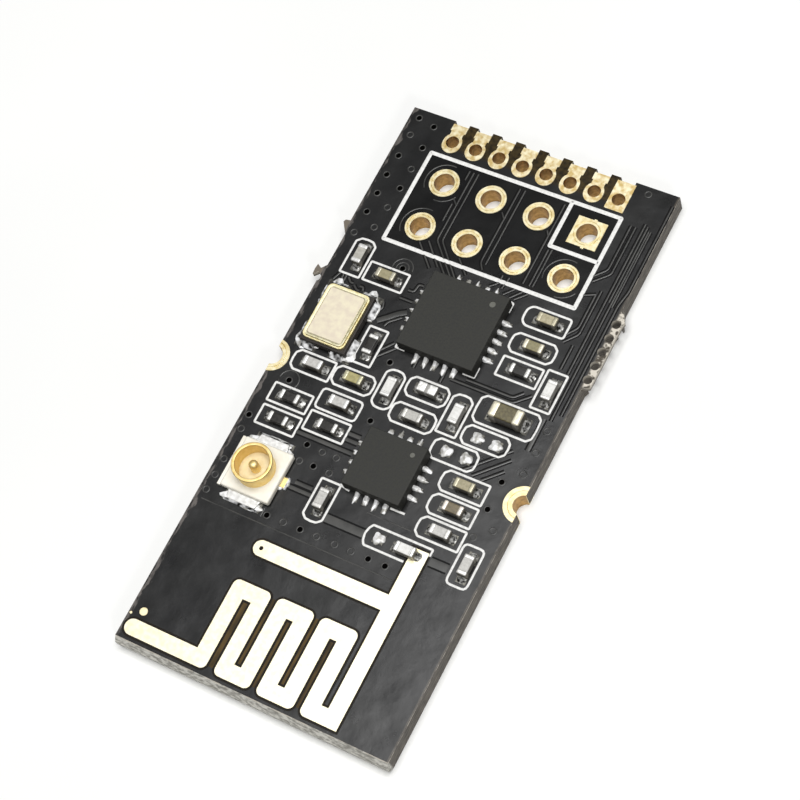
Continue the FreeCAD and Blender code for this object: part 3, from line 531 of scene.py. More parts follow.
# The outline round the antenna's matching footprint stops where the feed starts.
OPEN_OUTLINE = [
    (3.45, -6.43), (1.38, -6.43), (1.26, -6.25), (1.18, -5.92), (1.26, -5.59), (1.38, -5.41), (4.43, -5.41),
    (4.43, -5.75),
]
HEADER_FRAME = [
    (FRAME_LEFT, FRAME_FRONT), (FRAME_RIGHT, FRAME_FRONT),
    (FRAME_RIGHT, FRAME_REAR), (FRAME_LEFT, FRAME_REAR),
]
FIRST_PIN_FRAME = [(2.5, FRAME_REAR), (2.5, 10.27), (FRAME_RIGHT, 10.27)]
CHIP_TICKS = [
    [(2.29, 3.35), (2.29, 2.82), (1.70, 2.82)], [(-1.87, 3.0), (-1.87, 2.83), (-1.38, 2.83)],
    [(2.13, 6.93), (2.28, 6.9), (2.28, 6.4)], [(1.7, -4.4), (2.45, -4.4)], [(-1.0, -4.28), (-0.45, -4.4)],
]

# Copper under the mask: width, then paths.
COVERED = [
    (0.08, [
        [(-2.65, 12.5), (-2.65, 8.6), (-1.1, 7.0)], [(-2.4, 12.5), (-2.4, 8.65), (-0.9, 7.05)],
        [(-2.88, 12.5), (-2.88, 12.0)], [(-2.88, 10.6), (-2.88, 9.6)], [(-2.95, 10.9), (-2.65, 10.6)],
        [(-0.15, 12.5), (-0.15, 8.3), (0.1, 7.95)], [(0.12, 12.5), (0.12, 8.25)],
        [(-0.4, 11.05), (-0.15, 10.75)], [(2.22, 12.5), (2.22, 8.0)], [(2.05, 10.95), (2.22, 10.7)],
        [(2.55, 10.05), (2.55, 8.0)], [(2.72, 10.1), (2.72, 8.0)], [(-3.0, 8.4), (-1.95, 7.3)],
        [(-3.4, 8.2), (-2.3, 7.1)], [(-2.0, 7.6), (-1.5, 7.1)], [(-1.2, 8.1), (-0.5, 7.4)],
        [(1.15, 8.05), (1.15, 7.6), (0.8, 7.3)], [(1.5, 8.05), (1.4, 7.4)], [(2.0, 7.6), (1.6, 7.15)],
        [(2.4, 7.6), (1.95, 7.1)], [(2.7, 7.6), (2.2, 7.1)], [(5.62, 12.6), (5.62, 10.1), (5.1, 9.55)],
        [(5.85, 12.6), (5.85, 9.95), (5.2, 9.3)], [(5.65, 8.75), (5.1, 8.5)],
        [(5.65, 8.7), (5.65, 6.9), (5.2, 6.3)], [(5.82, 9.0), (5.82, 6.6), (5.3, 6.0)],
        [(5.8, 6.0), (5.8, 4.7)], [(6.22, 12.9), (6.22, 4.6)], [(6.38, 12.8), (6.38, 8.6)],
        [(6.52, 12.6), (6.52, 2.2)], [(6.62, 12.6), (6.62, 8.4)],
        [(7.0, 14.2), (7.0, 9.4), (6.85, 8.6), (6.85, 2.6)],
    ]),
    (0.1, [
        [(-2.9, 3.6), (-2.82, 3.85), (-2.3, 4.3)], [(-2.9, 5.2), (-2.2, 5.2)],
        [(-2.1, 6.15), (-2.35, 6.15), (-2.4, 5.7), (-2.7, 5.7)], [(-2.0, 3.0), (-2.5, 2.4)],
        [(-1.8, 2.8), (-2.5, 2.05)], [(-6.22, 5.35), (-6.4, 4.9)], [(-6.03, 5.3), (-6.03, 4.85)],
        [(-5.87, 5.3), (-5.87, 4.85)], [(-5.72, 5.25), (-5.5, 5.03), (-5.35, 5.06)],
        [(-5.27, 4.97), (-5.05, 4.8), (-4.92, 4.8)], [(-4.98, 5.02), (-4.8, 5.04), (-4.74, 4.84)],
        [(-3.52, 4.72), (-3.41, 4.43), (-3.52, 4.22)], [(3.8, -1.55), (5.6, 0.25)],
        [(4.4, -1.55), (5.75, -0.2)], [(4.9, -1.6), (5.7, -0.8)], [(1.3, 2.35), (4.5, 2.35), (5.2, 3.0)],
        [(2.0, 2.6), (4.4, 2.6), (4.8, 3.0)], [(-0.6, 2.2), (-0.6, 2.6)], [(0.9, 2.0), (0.9, 2.6)],
    ]),
    (0.2, [
        [(-4.2, -2.75), (-1.2, -2.75)], [(-1.9, -2.2), (-1.2, -2.2)], [(-1.9, -1.9), (-1.2, -1.9)],
        [(-3.2, -5.3), (-2.0, -5.3)], [(-3.0, -5.0), (-2.1, -5.0)], [(6.2, 0.5), (6.2, 2.2)],
    ]),
    (0.28, [
        [(-3.35, 3.72), (-2.97, 4.03), (-2.55, 4.42), (-2.2, 4.62)],
    ]),
    (0.42, [
        [(-0.85, -5.98), (1.15, -5.98)], [(4.55, -5.95), (5.45, -5.95)],
    ]),
]
POUR_EDGES = [[(-6.75, -7.42), (3.4, -7.42)], [(-3.7, -7.12), (-3.7, -6.7)], [(0.8, -5.0), (3.1, -5.0)]]
# Round gaps in the pour: centre, radius, and where the arc starts and ends, in degrees.
POUR_ARCS = [
    ((-3.75, 11.48), 1.0, 80, 215), ((-3.75, 8.94), 1.0, 80, 215), ((-3.75, 11.48), 1.0, 265, 330),
    ((3.87, 8.94), 1.0, 75, 200), ((3.87, 8.94), 1.0, 270, 330), ((-5.8, -0.6), 0.5, 200, 540),
    ((-3.5, 6.62), 0.32, 0, 220), ((-3.5, 6.62), 0.52, 0, 220),
]

# Centres of the vias, with an open mouth and wholly under the mask.
OPEN_VIAS = [
    (-6.62, 14.3), (-5.7, 14.1), (-5.68, 12.85), (-6.6, 12.05), (-6.65, 10.9), (-5.67, 10.45), (-6.6, 9.82),
    (-6.6, 8.73), (-3.45, -6.95), (-1.67, -6.95), (1.9, -6.95), (2.77, -6.95), (-3.4, -3.15), (-2.6, -3.98),
    (-5.8, -0.6), (-3.5, 6.62), (-1.75, 2.03), (-1.2, -0.95), (5.8, -1.3), (5.8, -2.72), (-6.73, -2.88),
]
COVERED_VIAS = [
    (-6.6, 13.3), (-5.65, 11.6), (-5.75, 9.3), (-5.85, 8.1), (-6.65, 7.5), (-6.75, -6.95), (-2.57, -6.95),
    (-0.8, -6.95), (0.15, -6.95), (1.0, -6.95), (-6.73, -3.65), (-6.73, -5.3), (-6.73, -6.15), (-2.55, -3.2),
    (-1.8, -3.2), (-3.35, -4.0), (-1.75, -4.0), (6.5, -3.55), (5.8, -4.17), (6.55, -0.6), (6.6, 0.55),
    (6.6, 1.7), (5.65, 14.4),
]


def outline(left, right, front, rear, bulges):
    """A component's outline, anticlockwise from its front left corner."""
    middle_x, middle_y = (left + right) / 2, (front + rear) / 2
    in_left = left + BULGE * ("L" in bulges)
    in_right = right - BULGE * ("R" in bulges)
    in_front = front + BULGE * ("B" in bulges)
    in_rear = rear - BULGE * ("T" in bulges)
    points = []
    corners = [
        (in_left, in_front, "LB"), (in_right, in_front, "RB"),
        (in_right, in_rear, "RT"), (in_left, in_rear, "LT"),
    ]
    bulge_points = {
        "B": (middle_x, front), "R": (right, middle_y), "T": (middle_x, rear), "L": (left, middle_y),
    }
    for number, (x, y, sides) in enumerate(corners):
        cut = CHAMFER * (sides[0] in bulges or sides[1] in bulges)
        to_x = 1 if sides[0] == "L" else -1
        to_y = 1 if sides[1] == "B" else -1
        along = (x + to_x * cut, y)
        up = (x, y + to_y * cut * 0.9)
        pair = [up, along] if number % 2 == 0 else [along, up]
        points += pair if cut else [(x, y)]
        side = "BRTL"[number]
        if side in bulges:
            points.append(bulge_points[side])
    return points


# The operators.

class MODULE_OT_board(bpy.types.Operator):
    """Paint the board and the bare lands of the frame"""
    bl_idname = "module.board"
    bl_label = "Board"

    def execute(self, context):
        paint(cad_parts["board"], board_material())
        # Tinned copper land, hot-dipped; its colour is darkened as a painted reflection of dark surroundings,
        # and mottled.
        tin = surface("tin", "#3a3936", "#79776f", 0.16, 0.34, metallic=0.9, depth_mm=0.006)
        for name in ("component_lands", "transceiver_leads", "amplifier_leads"):
            paint(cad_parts[name], tin)
        return {"FINISHED"}


class MODULE_OT_copper(bpy.types.Operator):
    """Add the copper that shows as low ridges under the mask, and the vias"""
    bl_idname = "module.copper"
    bl_label = "Covered copper and vias"

    def execute(self, context):
        looks = context.scene.module_board
        top = node_box("board")[1].z
        height = looks.trace_height / MM
        # The same mask, stretched thin over an etched track, where it looks greyer.
        ridge = surface("mask_over_copper", "#343432", "#454441", 0.8, 0.32, spread=0.03, ior=1.55)
        # Between track and pour the mask sinks on bare glass epoxy, where it is deep black and dull.
        channel = surface("mask_over_epoxy", "#040404", "#0a0a0a", 0.8, 0.5, spread=0.04, shine=0.15)
        groups, channels = [], []
        for width, paths in COVERED:
            lines = [(path, False, 0.15) for path in paths]
            groups.append(strokes("ridge", lines, width, height, top))
            channels.append(strokes("channel", lines, width + looks.channel_width / MM, height / 4, top))
        settle(paint(join("clearance_channels", channels), channel), "solder_mask")
        edges = [(path, False) for path in POUR_EDGES]
        edges += [(arc(*place), False) for place in POUR_ARCS]
        groups.append(strokes("clearance", edges, 0.06, height, top))
        settle(paint(join("covered_tracks", groups), ridge), "solder_mask")

        # A via is a drilled and plated hole with an open mouth; the black disc over the mouth is painted
        # shade, as the bore is too deep for light to come back.
        mouth = surface("via_mouth", "#010101", "#060504", 0.2, 0.9, spread=0.02, shine=0.02)
        # The mask round a via's ring, stretched thin over the plated copper.
        dim = surface("mask_over_via", "#2d2d2b", "#3d3c39", 0.3, 0.4, spread=0.03, ior=1.55, shine=0.45)
        radius = looks.via_size / MM / 2
        ring = [(radius, 0), (radius - 0.02, height), (radius - 0.05, height), (radius - 0.07, 0)]
        disc = [(AXIS, 0.0), (AXIS, 0.004), (radius - 0.06, 0.004), (radius - 0.06, 0.0)]
        rings = [lathe("via_ring", ring, (*place, top), 20) for place in OPEN_VIAS + COVERED_VIAS]
        mouths = [lathe("via_mouth", disc, (*place, top), 20) for place in OPEN_VIAS]
        settle(paint(join("via_rings", rings), dim), "solder_mask")
        settle(paint(join("via_mouths", mouths), mouth), "solder_mask")
        return {"FINISHED"}


class MODULE_OT_print(bpy.types.Operator):
    """Print the white outlines, the header's frame and the chips' corner ticks"""
    bl_idname = "module.print"
    bl_label = "Print"

    def execute(self, context):
        looks = context.scene.module_board
        top = node_box("board")[1].z
        height = looks.ink_height / MM
        # Screen-printed white epoxy ink.
        ink = surface("print_ink", looks.ink_dark, looks.ink_light, 0.15, 0.55, depth_mm=0.004)
        outlines = [(outline(*row[:5]), True, row[5]) for row in OUTLINES]
        outlines.append((OPEN_OUTLINE, False))
        outlines += [(tick, False, 0.03) for tick in CHIP_TICKS]
        lines = strokes("outlines", outlines, looks.line_width / MM, height, top)
        frames = [(HEADER_FRAME, True), (FIRST_PIN_FRAME, False)]
        border = strokes("frame", frames, looks.frame_width / MM, height, top, 0.02)
        settle(paint(join("print", [lines, border]), ink), "print_ink")
        return {"FINISHED"}


# Plated pieces, in millimetres: the foil's thickness and the header holes' bore.
FOIL = 0.03
HEADER_BORE = 0.5
# The castellated holes: where they stand along the board, their bore, half the notch's land, and its front.
PAD_HOLE_Y = 13.64
PAD_BORE = 0.325
NOTCH_HALF = 0.4
LAND_FRONT = 14.22
# How far from the board's middle line the edge contacts' holes are centred.
CONTACT_X = 7.2


def gold_material(name, dark=None, light=None, roughness=0.5):
    """Immersion gold over nickel on copper: thin, pale and slightly grainy.

    Without colours of its own it has those that a user sets."""
    looks = bpy.context.scene.module_metal
    dark, light = dark or looks.gold_dark, light or looks.gold_light
    return surface(name, dark, light, 0.25, roughness, metallic=1.0, depth_mm=0.002)


def bore_material(name):
    """The same plating down a hole, painted darker and browner as the shade and the wall-tinted light deep in
    the bore.
    """
    return surface(name, "#9a7843", "#c49f63", 0.2, 0.42, metallic=1.0)


def line_bore(obj, x, y, radius):
    """Gives the upright faces close round an axis the second material."""
    for polygon in obj.data.polygons:
        near = math.hypot(polygon.center.x - x, polygon.center.y - y) < radius
        polygon.material_index = 1 if near and abs(polygon.normal.z) < 0.5 else 0
    return obj


def eyelet_profile(bore, outer, low, high, ease):
    """The outline of a plated hole with a flat flange of foil on both faces of the board.

    A fine crease runs round each flange, halfway between the hole and the rim."""
    crease, dip, wall = (bore + outer) / 2, 2 * ease, bore + FOIL
    return [
        (bore, low + ease), (bore + ease, low), (crease - dip, low), (crease, low + dip), (crease + dip, low),
        (outer - ease, low), (outer, low + ease), (outer, low + FOIL), (wall, low + FOIL),
        (wall, high - FOIL), (outer, high - FOIL), (outer, high - ease), (outer - ease, high),
        (crease + dip, high), (crease, high - dip), (crease - dip, high), (bore + ease, high),
        (bore, high - ease),
    ]


class MODULE_OT_header(bpy.types.Operator):
    """Make the eight plated header holes; the first has a square pad"""
    bl_idname = "module.header"
    bl_label = "Header holes"

    def execute(self, context):
        looks = context.scene.module_metal
        ease = looks.edge_round / MM
        low, high = node_box("header_eyelet_2")
        outer = (high.x - low.x) / 2
        gold, bore = gold_material("gilded_copper"), bore_material("gilded_bore")
        profile = eyelet_profile(HEADER_BORE, outer, low.z, high.z, ease)
        model = lathe("header_model", profile, (0, 0), looks.steps)
        for number in range(1, 9):
            name = f"header_eyelet_{number}"
            piece = twin(model, f"header_pad_{number}")
            if number == 1:
                self.square(piece, outer - ease * 1.5)
            centre = node_centre(name)
            move(piece, (centre.x, centre.y, 0))
            paint(line_bore(piece, centre.x, centre.y, HEADER_BORE + 0.04), gold, bore)
            if number == 1:
                piece = join(piece.name, [piece] + self.nibs(centre, outer, high.z, gold))
            settle(piece, "gilded_copper", name)
        drop(model)
        return {"FINISHED"}

    def square(self, piece, rim):
        """Pulls the pad's outer edge, from the radius rim on, out to a square."""
        for vertex in piece.data.vertices:
            radius = math.hypot(vertex.co.x, vertex.co.y)
            if radius > rim:
                stretch = radius / max(abs(vertex.co.x), abs(vertex.co.y))
                vertex.co.x *= stretch
                vertex.co.y *= stretch

    def nibs(self, centre, outer, top, gold):
        """Small nibs of gold that stand past two sides of the square pad."""
        half = Vector((0.08, 0.06))
        pieces = []
        for side in (1, -1):
            middle = Vector((centre.x + 0.1, centre.y + side * outer))
            low, high = middle - half, middle + half
            nib = block("nib", (low.x, low.y, top - FOIL), (high.x, high.y, top - 0.002), 0.01, 2)
            pieces.append(paint(nib, gold))
        return pieces


class MODULE_OT_edge(bpy.types.Operator):
    """Make the castellated pads and the two half-round edge contacts"""
    bl_idname = "module.edge"
    bl_label = "Edge pads and contacts"

    def execute(self, context):
        looks = context.scene.module_metal
        gold = gold_material("gilded_edge", "#d6bb7c", "#f8f0d0")
        bore_gold = bore_material("gilded_edge_bore")
        for number in range(1, 9):
            self.pad(f"castellated_pad_{number}", number == 8, gold, bore_gold)
        contact_gold = gold_material("gilded_contact")
        for side, bore in (("left", 0.5), ("right", 0.47)):
            self.contact(side, bore, looks, contact_gold, bore_gold)
        return {"FINISHED"}

    def pad(self, name, square, gold, bore_gold):
        """One castellated pad: foil on both faces, a wall in the edge's notch and a tube in the hole."""
        low, high = node_box(name)
        x, half = (low.x + high.x) / 2, (high.x - low.x) / 2
        centre = (x, PAD_HOLE_Y)
        plates = []
        for bottom in (low.z, high.z - FOIL):
            top = bottom + FOIL
            if square:
                plates.append(block("plate", (x - half, low.y, bottom), (x + half, high.y, top)))
                continue
            plate = block("plate", (x - PAD_BORE, PAD_HOLE_Y, bottom), (x + PAD_BORE, high.y - FOIL, top))
            shapes = [
                block("land", (x - NOTCH_HALF, LAND_FRONT, bottom), (x + NOTCH_HALF, high.y, top)),
                block("slot", (x - half, low.y + half, bottom), (x + half, PAD_HOLE_Y, top)),
            ]
            for y in (low.y + half, PAD_HOLE_Y):
                shapes.append(rod("disc", (x, y), half - 0.0005, bottom, top))
            for shape in shapes:
                boolean(plate, shape, "UNION")
            plates.append(plate)
        reach, foot, head = NOTCH_HALF - 0.015, low.z + 0.01, high.z - 0.01
        wall = block("wall", (x - reach, high.y - FOIL, foot), (x + reach, high.y, head))
        tube = rod("tube", centre, PAD_BORE + 0.02, foot, head)
        piece = plates[0]
        for part in (plates[1], wall, tube):
            boolean(piece, part, "UNION")
        boolean(piece, rod("drill", centre, PAD_BORE, low.z - 1, high.z + 1), "DIFFERENCE")
        line_bore(piece, x, PAD_HOLE_Y, PAD_BORE + 0.025)
        piece.name = name.replace("castellated_pad", "edge_pad")
        settle(paint(piece, gold, bore_gold), "gilded_copper", name)

    def contact(self, side, bore, looks, gold, bore_gold):
        """A plated hole on the board's side, cut in half."""
        name = f"edge_contact_{side}"
        low, high = node_box(name)
        sign = 1 if side == "right" else -1
        centre = (sign * CONTACT_X, (low.y + high.y) / 2)
        outer = (high.y - low.y) / 2
        profile = eyelet_profile(bore, outer, low.z, high.z, looks.edge_round / MM)
        piece = lathe(f"half_moon_{side}", profile, centre, looks.steps)
        edit(piece)
        cut = high.x if sign > 0 else low.x
        bpy.ops.mesh.bisect(plane_co=(cut, 0, 0), plane_no=(sign, 0, 0), clear_outer=True, use_fill=True)
        bpy.ops.mesh.select_all(action="SELECT")
        bpy.ops.mesh.normals_make_consistent(inside=False)
        done()
        line_bore(piece, centre[0], centre[1], bore + 0.02)
        settle(paint(piece, gold, bore_gold), "gilded_copper", name)


# The antenna's halo of thin mask and painted shade, and the bare patch between its bars: front left and rear
# right corner.
HALO = 0.11
BARE_PATCH = ((-3.2, -14.3), (3.3, -10.35))
# Gold spots beside the antenna's foot: centre and radius.
SPOTS = ((-6.43, -13.3, 0.2), (-6.97, -13.57, 0.07))


class MODULE_OT_antenna(bpy.types.Operator):
    """Make the printed antenna and the bare laminate that shows between its bars"""
    bl_idname = "module.antenna"
    bl_label = "Antenna"

    def execute(self, context):
        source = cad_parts["antenna"]
        piece = twin(source, "printed_antenna")
        piece.parent = None
        only(piece)
        bpy.ops.mesh.customdata_custom_splitnormals_clear()
        bpy.ops.transform.resize(value=(1 / MM,) * 3, center_override=(0, 0, 0))
        made("printed_antenna")
        edit(piece)
        bpy.ops.mesh.remove_doubles(threshold=0.001)
        bpy.ops.mesh.dissolve_limited(angle_limit=math.radians(1))
        done()
        top = node_box("board")[1].z
        halo = twin(piece, "antenna_halo")
        edit(halo)
        bpy.ops.transform.shrink_fatten(value=HALO, use_even_offset=True)
        done()
        middle = sum(vertex.co.z for vertex in halo.data.vertices) / len(halo.data.vertices)
        for vertex in halo.data.vertices:
            vertex.co.z = top + (0.008 if vertex.co.z > middle else -0.01)
        # The mask is drawn thin over the etched edge, brown and dull, and darkened further as painted shade
        # along the bars' edges.
        shade = surface("mask_and_painted_shade_by_antenna", "#120e08", "#1f180e", 0.25, 0.55, spread=0.05, shine=0.2)
        settle(paint(halo, shade), "bare_laminate")

        edit(piece)
        bpy.ops.mesh.bevel(offset=0.008, segments=2, affect="EDGES", clamp_overlap=True)
        done()
        gold = gold_material("gilded_antenna", "#fcf1cb", "#fff9e2")
        settle(paint(piece, gold), "gilded_copper", "antenna")

        # Glass epoxy under a thin film of mask, olive brown where no copper darkens it.
        laminate = surface("bare_laminate", "#3a2f1c", "#5d4a28", 0.3, 0.5, stretch=(1, 0.3, 1), shine=0.15)
        (left, front), (right, rear) = BARE_PATCH
        plate = block("bare_laminate_plates", (left, front, top - 0.01), (right, rear, top + 0.004))
        settle(paint(plate, laminate), "bare_laminate")

        spots = []
        for x, y, radius in SPOTS:
            profile = [
                (AXIS, -0.01), (AXIS, FOIL), (radius - 0.01, FOIL), (radius, FOIL - 0.01), (radius, -0.01),
            ]
            spots.append(lathe("spot", profile, (x, y, top), 32))
        gold = gold_material("gilded_spots", "#f5e6b8", "#fbf1d0")
        settle(paint(join("gold_spots", spots), gold), "gilded_copper")
        return {"FINISHED"}


# Each chip, where its dot stands in from the rear right corner, the dot's radius, and its leads on a side.
CHIPS = (("transceiver", (0.63, 0.6), 0.15, 5), ("amplifier", (0.54, 0.56), 0.12, 4))
DOT_DEPTH = 0.02
LEAD_PITCH = 0.5


class MODULE_OT_chips(bpy.types.Operator):
    """Make the two flat chips with their pin-1 dots, and the solder at their leads"""
    bl_idname = "module.chips"
    bl_label = "Chips"

    def execute(self, context):
        # Epoxy moulding compound filled with fine silica, matte from the mould.
        compound = surface("moulding_compound", "#1c1c18", "#2c2c26", 0.09, 0.64, spread=0.08, depth_mm=0.006,
                           detail=4.0)
        # The same compound on the dot's smooth floor, which is paler.
        dot_floor = surface("dot_floor", "#5a5a52", "#66665e", 0.06, 0.5)
        # Tin-silver solder, reflowed smooth at the leads' toes; its near-white colour is a painted highlight.
        solder = surface("chip_solder_painted_highlight", "#cfcecb", "#ffffff", 0.3, 0.4, metallic=0.3, detail=1.5)
        fillets = []
        for chip, dot, radius, leads in CHIPS:
            low, high = node_box(f"{chip}_body")
            centre = (high.x - dot[0], high.y - dot[1])
            floor = high.z - DOT_DEPTH
            piece = block(f"{chip}_package", low, high, 0.04, 3)
            boolean(piece, rod("dot", centre, radius, floor, high.z + DOT_DEPTH, 40), "DIFFERENCE")
            for polygon in piece.data.polygons:
                place = polygon.center
                inside = math.hypot(place.x - centre[0], place.y - centre[1]) < radius * 0.7
                flat = polygon.normal.z > 0.9 and place.z > floor - 0.01
                polygon.material_index = 1 if inside and flat else 0
            settle(paint(piece, compound, dot_floor), "moulding_compound", f"{chip}_body")
            fillets += self.fillets(leads, low, high)
        settle(paint(join("chip_solder_fillets", fillets), solder), "solder", "chip_solder")
        return {"FINISHED"}

    def fillets(self, leads, low, high):
        """One fillet of solder in front of every lead, on all four sides."""
        pad_top = node_box("header_eyelet_2")[1].z
        model = blob("drop", reach=0.37, width=0.25, climb=0.25, sink=0.03)
        centre, half = (low + high) / 2, (high - low) / 2
        pieces = []
        for degrees, reach in ((0, half.x), (90, half.y), (180, half.x), (270, half.y)):
            for index in range(leads):
                along = (index - (leads - 1) / 2) * LEAD_PITCH
                piece = move(twin(model, "drop"), (reach, along, 0))
                turn(piece, degrees)
                pieces.append(move(piece, (centre.x, centre.y, pad_top)))
        drop(model)
        return pieces


# The crystal: how far the lid stands above the ring and in from its side, and the groove's width and depth.
LID_STEP = 0.09
LID_GAP = 0.03
GROOVE = 0.03
GROOVE_DEPTH = 0.012


class MODULE_OT_crystal(bpy.types.Operator):
    """Make the crystal: ceramic base, gilded seal ring and welded lid"""
    bl_idname = "module.crystal"
    bl_label = "Crystal"

    def execute(self, context):
        # Co-fired alumina, dark brown.
        ceramic = surface("package_ceramic", "#1c1712", "#2a221b", 0.1, 0.6)
        # Plated iron-nickel alloy, pale and finely speckled.
        lid = surface("lid_metal", "#dfd3bf", "#ece3c9", 0.35, 0.6, metallic=0.3, depth_mm=0.003)
        # The lid's upright side is painted dark as a reflection of the dark board, and its rim pale as a
        # painted highlight.
        side = surface("lid_side", "#6d5c2c", "#86733a", 0.2, 0.45, metallic=0.9)
        rim = surface("lid_rim", "#f3eaba", "#fcf6d6", 0.2, 0.4, metallic=0.9)
        # A fine groove runs round inside the rim, coloured darker than the lid.
        groove = surface("lid_groove", "#b3aa8f", "#c6bc9e", 0.1, 0.45, metallic=0.6)
        gold = gold_material("gilded_ring_crystal", "#efe0a2", "#fbf2c8", 0.45)
        low, high = node_box("crystal_base")
        base = block("crystal_package", low, high, 0.06, 2)
        settle(paint(base, ceramic), "package_ceramic", "crystal_base")
        low, high = node_box("crystal_ring")
        lid_low, lid_high = node_box("crystal_lid")
        ring = block("crystal_seal", low, (high.x, high.y, lid_high.z - LID_STEP))
        self.round_corners(ring, 0.25 + LID_GAP)
        settle(paint(ring, gold), "gilded_ring", "crystal_ring")
        gap = Vector((LID_GAP, LID_GAP, 0))
        low, high = lid_low + gap, lid_high - gap
        plate = block("crystal_cover", low, high)
        self.round_corners(plate, 0.25)
        centre, half = (low + high) / 2, (high - low) / 2
        top_face = max(plate.data.polygons, key=lambda polygon: polygon.center.z)
        top_face.select = True
        bpy.ops.object.mode_set(mode="EDIT")
        bpy.ops.mesh.inset(thickness=3 * GROOVE)
        bpy.ops.mesh.inset(thickness=GROOVE, depth=-GROOVE_DEPTH)
        bpy.ops.mesh.inset(thickness=GROOVE, depth=GROOVE_DEPTH)
        done()
        for polygon in plate.data.polygons:
            middle = polygon.center
            edge = max(abs(middle.x - centre.x) / half.x, abs(middle.y - centre.y) / half.y)
            if polygon.normal.z > 0.999 and middle.z > high.z - 0.001:
                polygon.material_index = 0 if polygon.area > 1 else 1
            else:
                polygon.material_index = 3 if edge > 0.98 else 2
        settle(paint(plate, lid, rim, groove, side), "lid_metal", "crystal_lid")
        return {"FINISHED"}

    def round_corners(self, plate, radius):
        """Rounds the four upright edges of a box."""
        edit(plate, "DESELECT")
        bpy.ops.mesh.select_mode(type="EDGE")
        done()
        for edge in plate.data.edges:
            a, b = (plate.data.vertices[i].co for i in edge.vertices)
            edge.select = abs(a.z - b.z) > 0.05
        bpy.ops.object.mode_set(mode="EDIT")
        bpy.ops.mesh.bevel(offset=radius, segments=8, affect="EDGES")
        bpy.ops.mesh.select_mode(type="FACE")
        bpy.ops.mesh.select_all(action="DESELECT")
        done()


# The coax socket, in millimetres: its axis, the ring's bore, tube and lip radius, the tabs' half width,
# root and thickness, and the pin's radius.
COAX_PLACE = (-4.83, -5.26)
COAX_BORE, COAX_TUBE, COAX_LIP = 0.82, 0.93, 0.99
TAB_HALF, TAB_ROOT, TAB_THICK = 0.9, 1.2, 0.15
PIN_RADIUS = 0.23


class MODULE_OT_coax(bpy.types.Operator):
    """Make the micro coax socket: insulator, outer ring with its lip, and centre pin"""
    bl_idname = "module.coax"
    bl_label = "Coax socket"

    def execute(self, context):
        looks = context.scene.module_metal
        # Liquid-crystal polymer, moulded, cream.
        plastic = surface("coax_plastic", "#f2ecdc", "#faf6ea", 0.4, 0.45)
        gold = gold_material("gilded_ring_coax", "#efd084", "#f8e2a4", 0.48)
        # Inside the ring the plating is painted a darker gold, as shade and as the light that it gets only
        # from itself and the cream plastic.
        inner = surface("coax_inner", "#dabf78", "#e8d093", 0.2, 0.45, metallic=0.9)
        # The ground contact's tabs, silvery where solder has wetted them.
        silver = surface("coax_tabs", "#d9d8d4", "#f4f3f0", 0.2, 0.4, metallic=0.6, depth_mm=0.003)
        low, high = node_box("coax_insulator")
        body = block("coax_base", (low.x + 0.22, low.y, low.z), high, 0.1, 4)
        ledge = block("ledge", (low.x, low.y, low.z), (low.x + 0.17, high.y, low.z + 0.2), 0.03, 2)
        settle(paint(join("coax_base", [body, ledge]), plastic), "coax_plastic", "coax_insulator")

        x, y = COAX_PLACE
        floor = high.z
        # Inside the ring a thin disc paints the cream plastic gold, as painted light thrown on it by the gold
        # walls.
        gold_bounce = surface("coax_floor_painted_gold_light", "#e8d4a2", "#f1e0b6", 0.3, 0.4)
        rim, film = COAX_BORE + 0.01, floor + 0.004
        disc = [(0.2, floor - 0.01), (0.2, film), (rim, film), (rim, floor - 0.01)]
        settle(paint(lathe("coax_floor_painted_gold_light", disc, (x, y), looks.steps), gold_bounce), "coax_plastic")
        low, high = node_box("coax_ground_contact")
        top = high.z
        bore, tube, lip = COAX_BORE, COAX_TUBE, COAX_LIP
        profile = [
            (bore, floor - 0.02), (tube, floor - 0.02), (tube, top - 0.2), (lip - 0.01, top - 0.13),
            (lip, top - 0.1), (lip, top - 0.03), (lip - 0.01, top - 0.01), (lip - 0.03, top),
            (bore + 0.03, top), (bore + 0.01, top - 0.01), (bore, top - 0.03),
        ]
        ring = lathe("ring", profile, (x, y), looks.steps)
        for polygon in ring.data.polygons:
            outward = polygon.center - Vector((x, y, polygon.center.z))
            inward = polygon.normal.dot(outward) < 0
            polygon.material_index = 2 if inward and polygon.center.z < top - 0.05 else 0
        parts = [paint(ring, gold, silver, inner)]
        for sign in (-1, 1):
            far = high.y if sign > 0 else low.y
            near = y + sign * TAB_ROOT
            front, rear = min(far, near), max(far, near)
            tab = block("tab", (x - TAB_HALF, front, low.z), (x + TAB_HALF, rear, low.z + TAB_THICK), 0.04, 3)
            for vertex in tab.data.vertices:
                # The tabs narrow towards their ends.
                out = abs(vertex.co.y - near) / abs(far - near)
                vertex.co.x = x + (vertex.co.x - x) * (1 - 0.18 * out)
            parts.append(paint(tab, silver))
        settle(join("coax_shell", parts), "gilded_ring", "coax_ground_contact")

        low, high = node_box("coax_signal_contact")
        radius, top = PIN_RADIUS, high.z
        pin_profile = [
            (AXIS, floor - 0.02), (radius, floor - 0.02), (radius, top - 0.16), (radius * 0.94, top - 0.09),
            (radius * 0.75, top - 0.03), (radius * 0.4, top - 0.005), (AXIS, top),
        ]
        # The pin's gold is thicker, and warmer and duller than the rest.
        pin_gold = surface("pin_gold", "#f3d687", "#fbe8b0", 0.3, 0.5, metallic=0.8)
        pin = paint(lathe("pin", pin_profile, (x, y), 40), pin_gold)
        tail = block("tail", (high.x - 0.3, y - 0.25, low.z), (high.x, y + 0.25, low.z + 0.1), 0.03, 2)
        settle(join("coax_pin", [pin, paint(tail, gold)]), "gilded_ring", "coax_signal_contact")
        return {"FINISHED"}


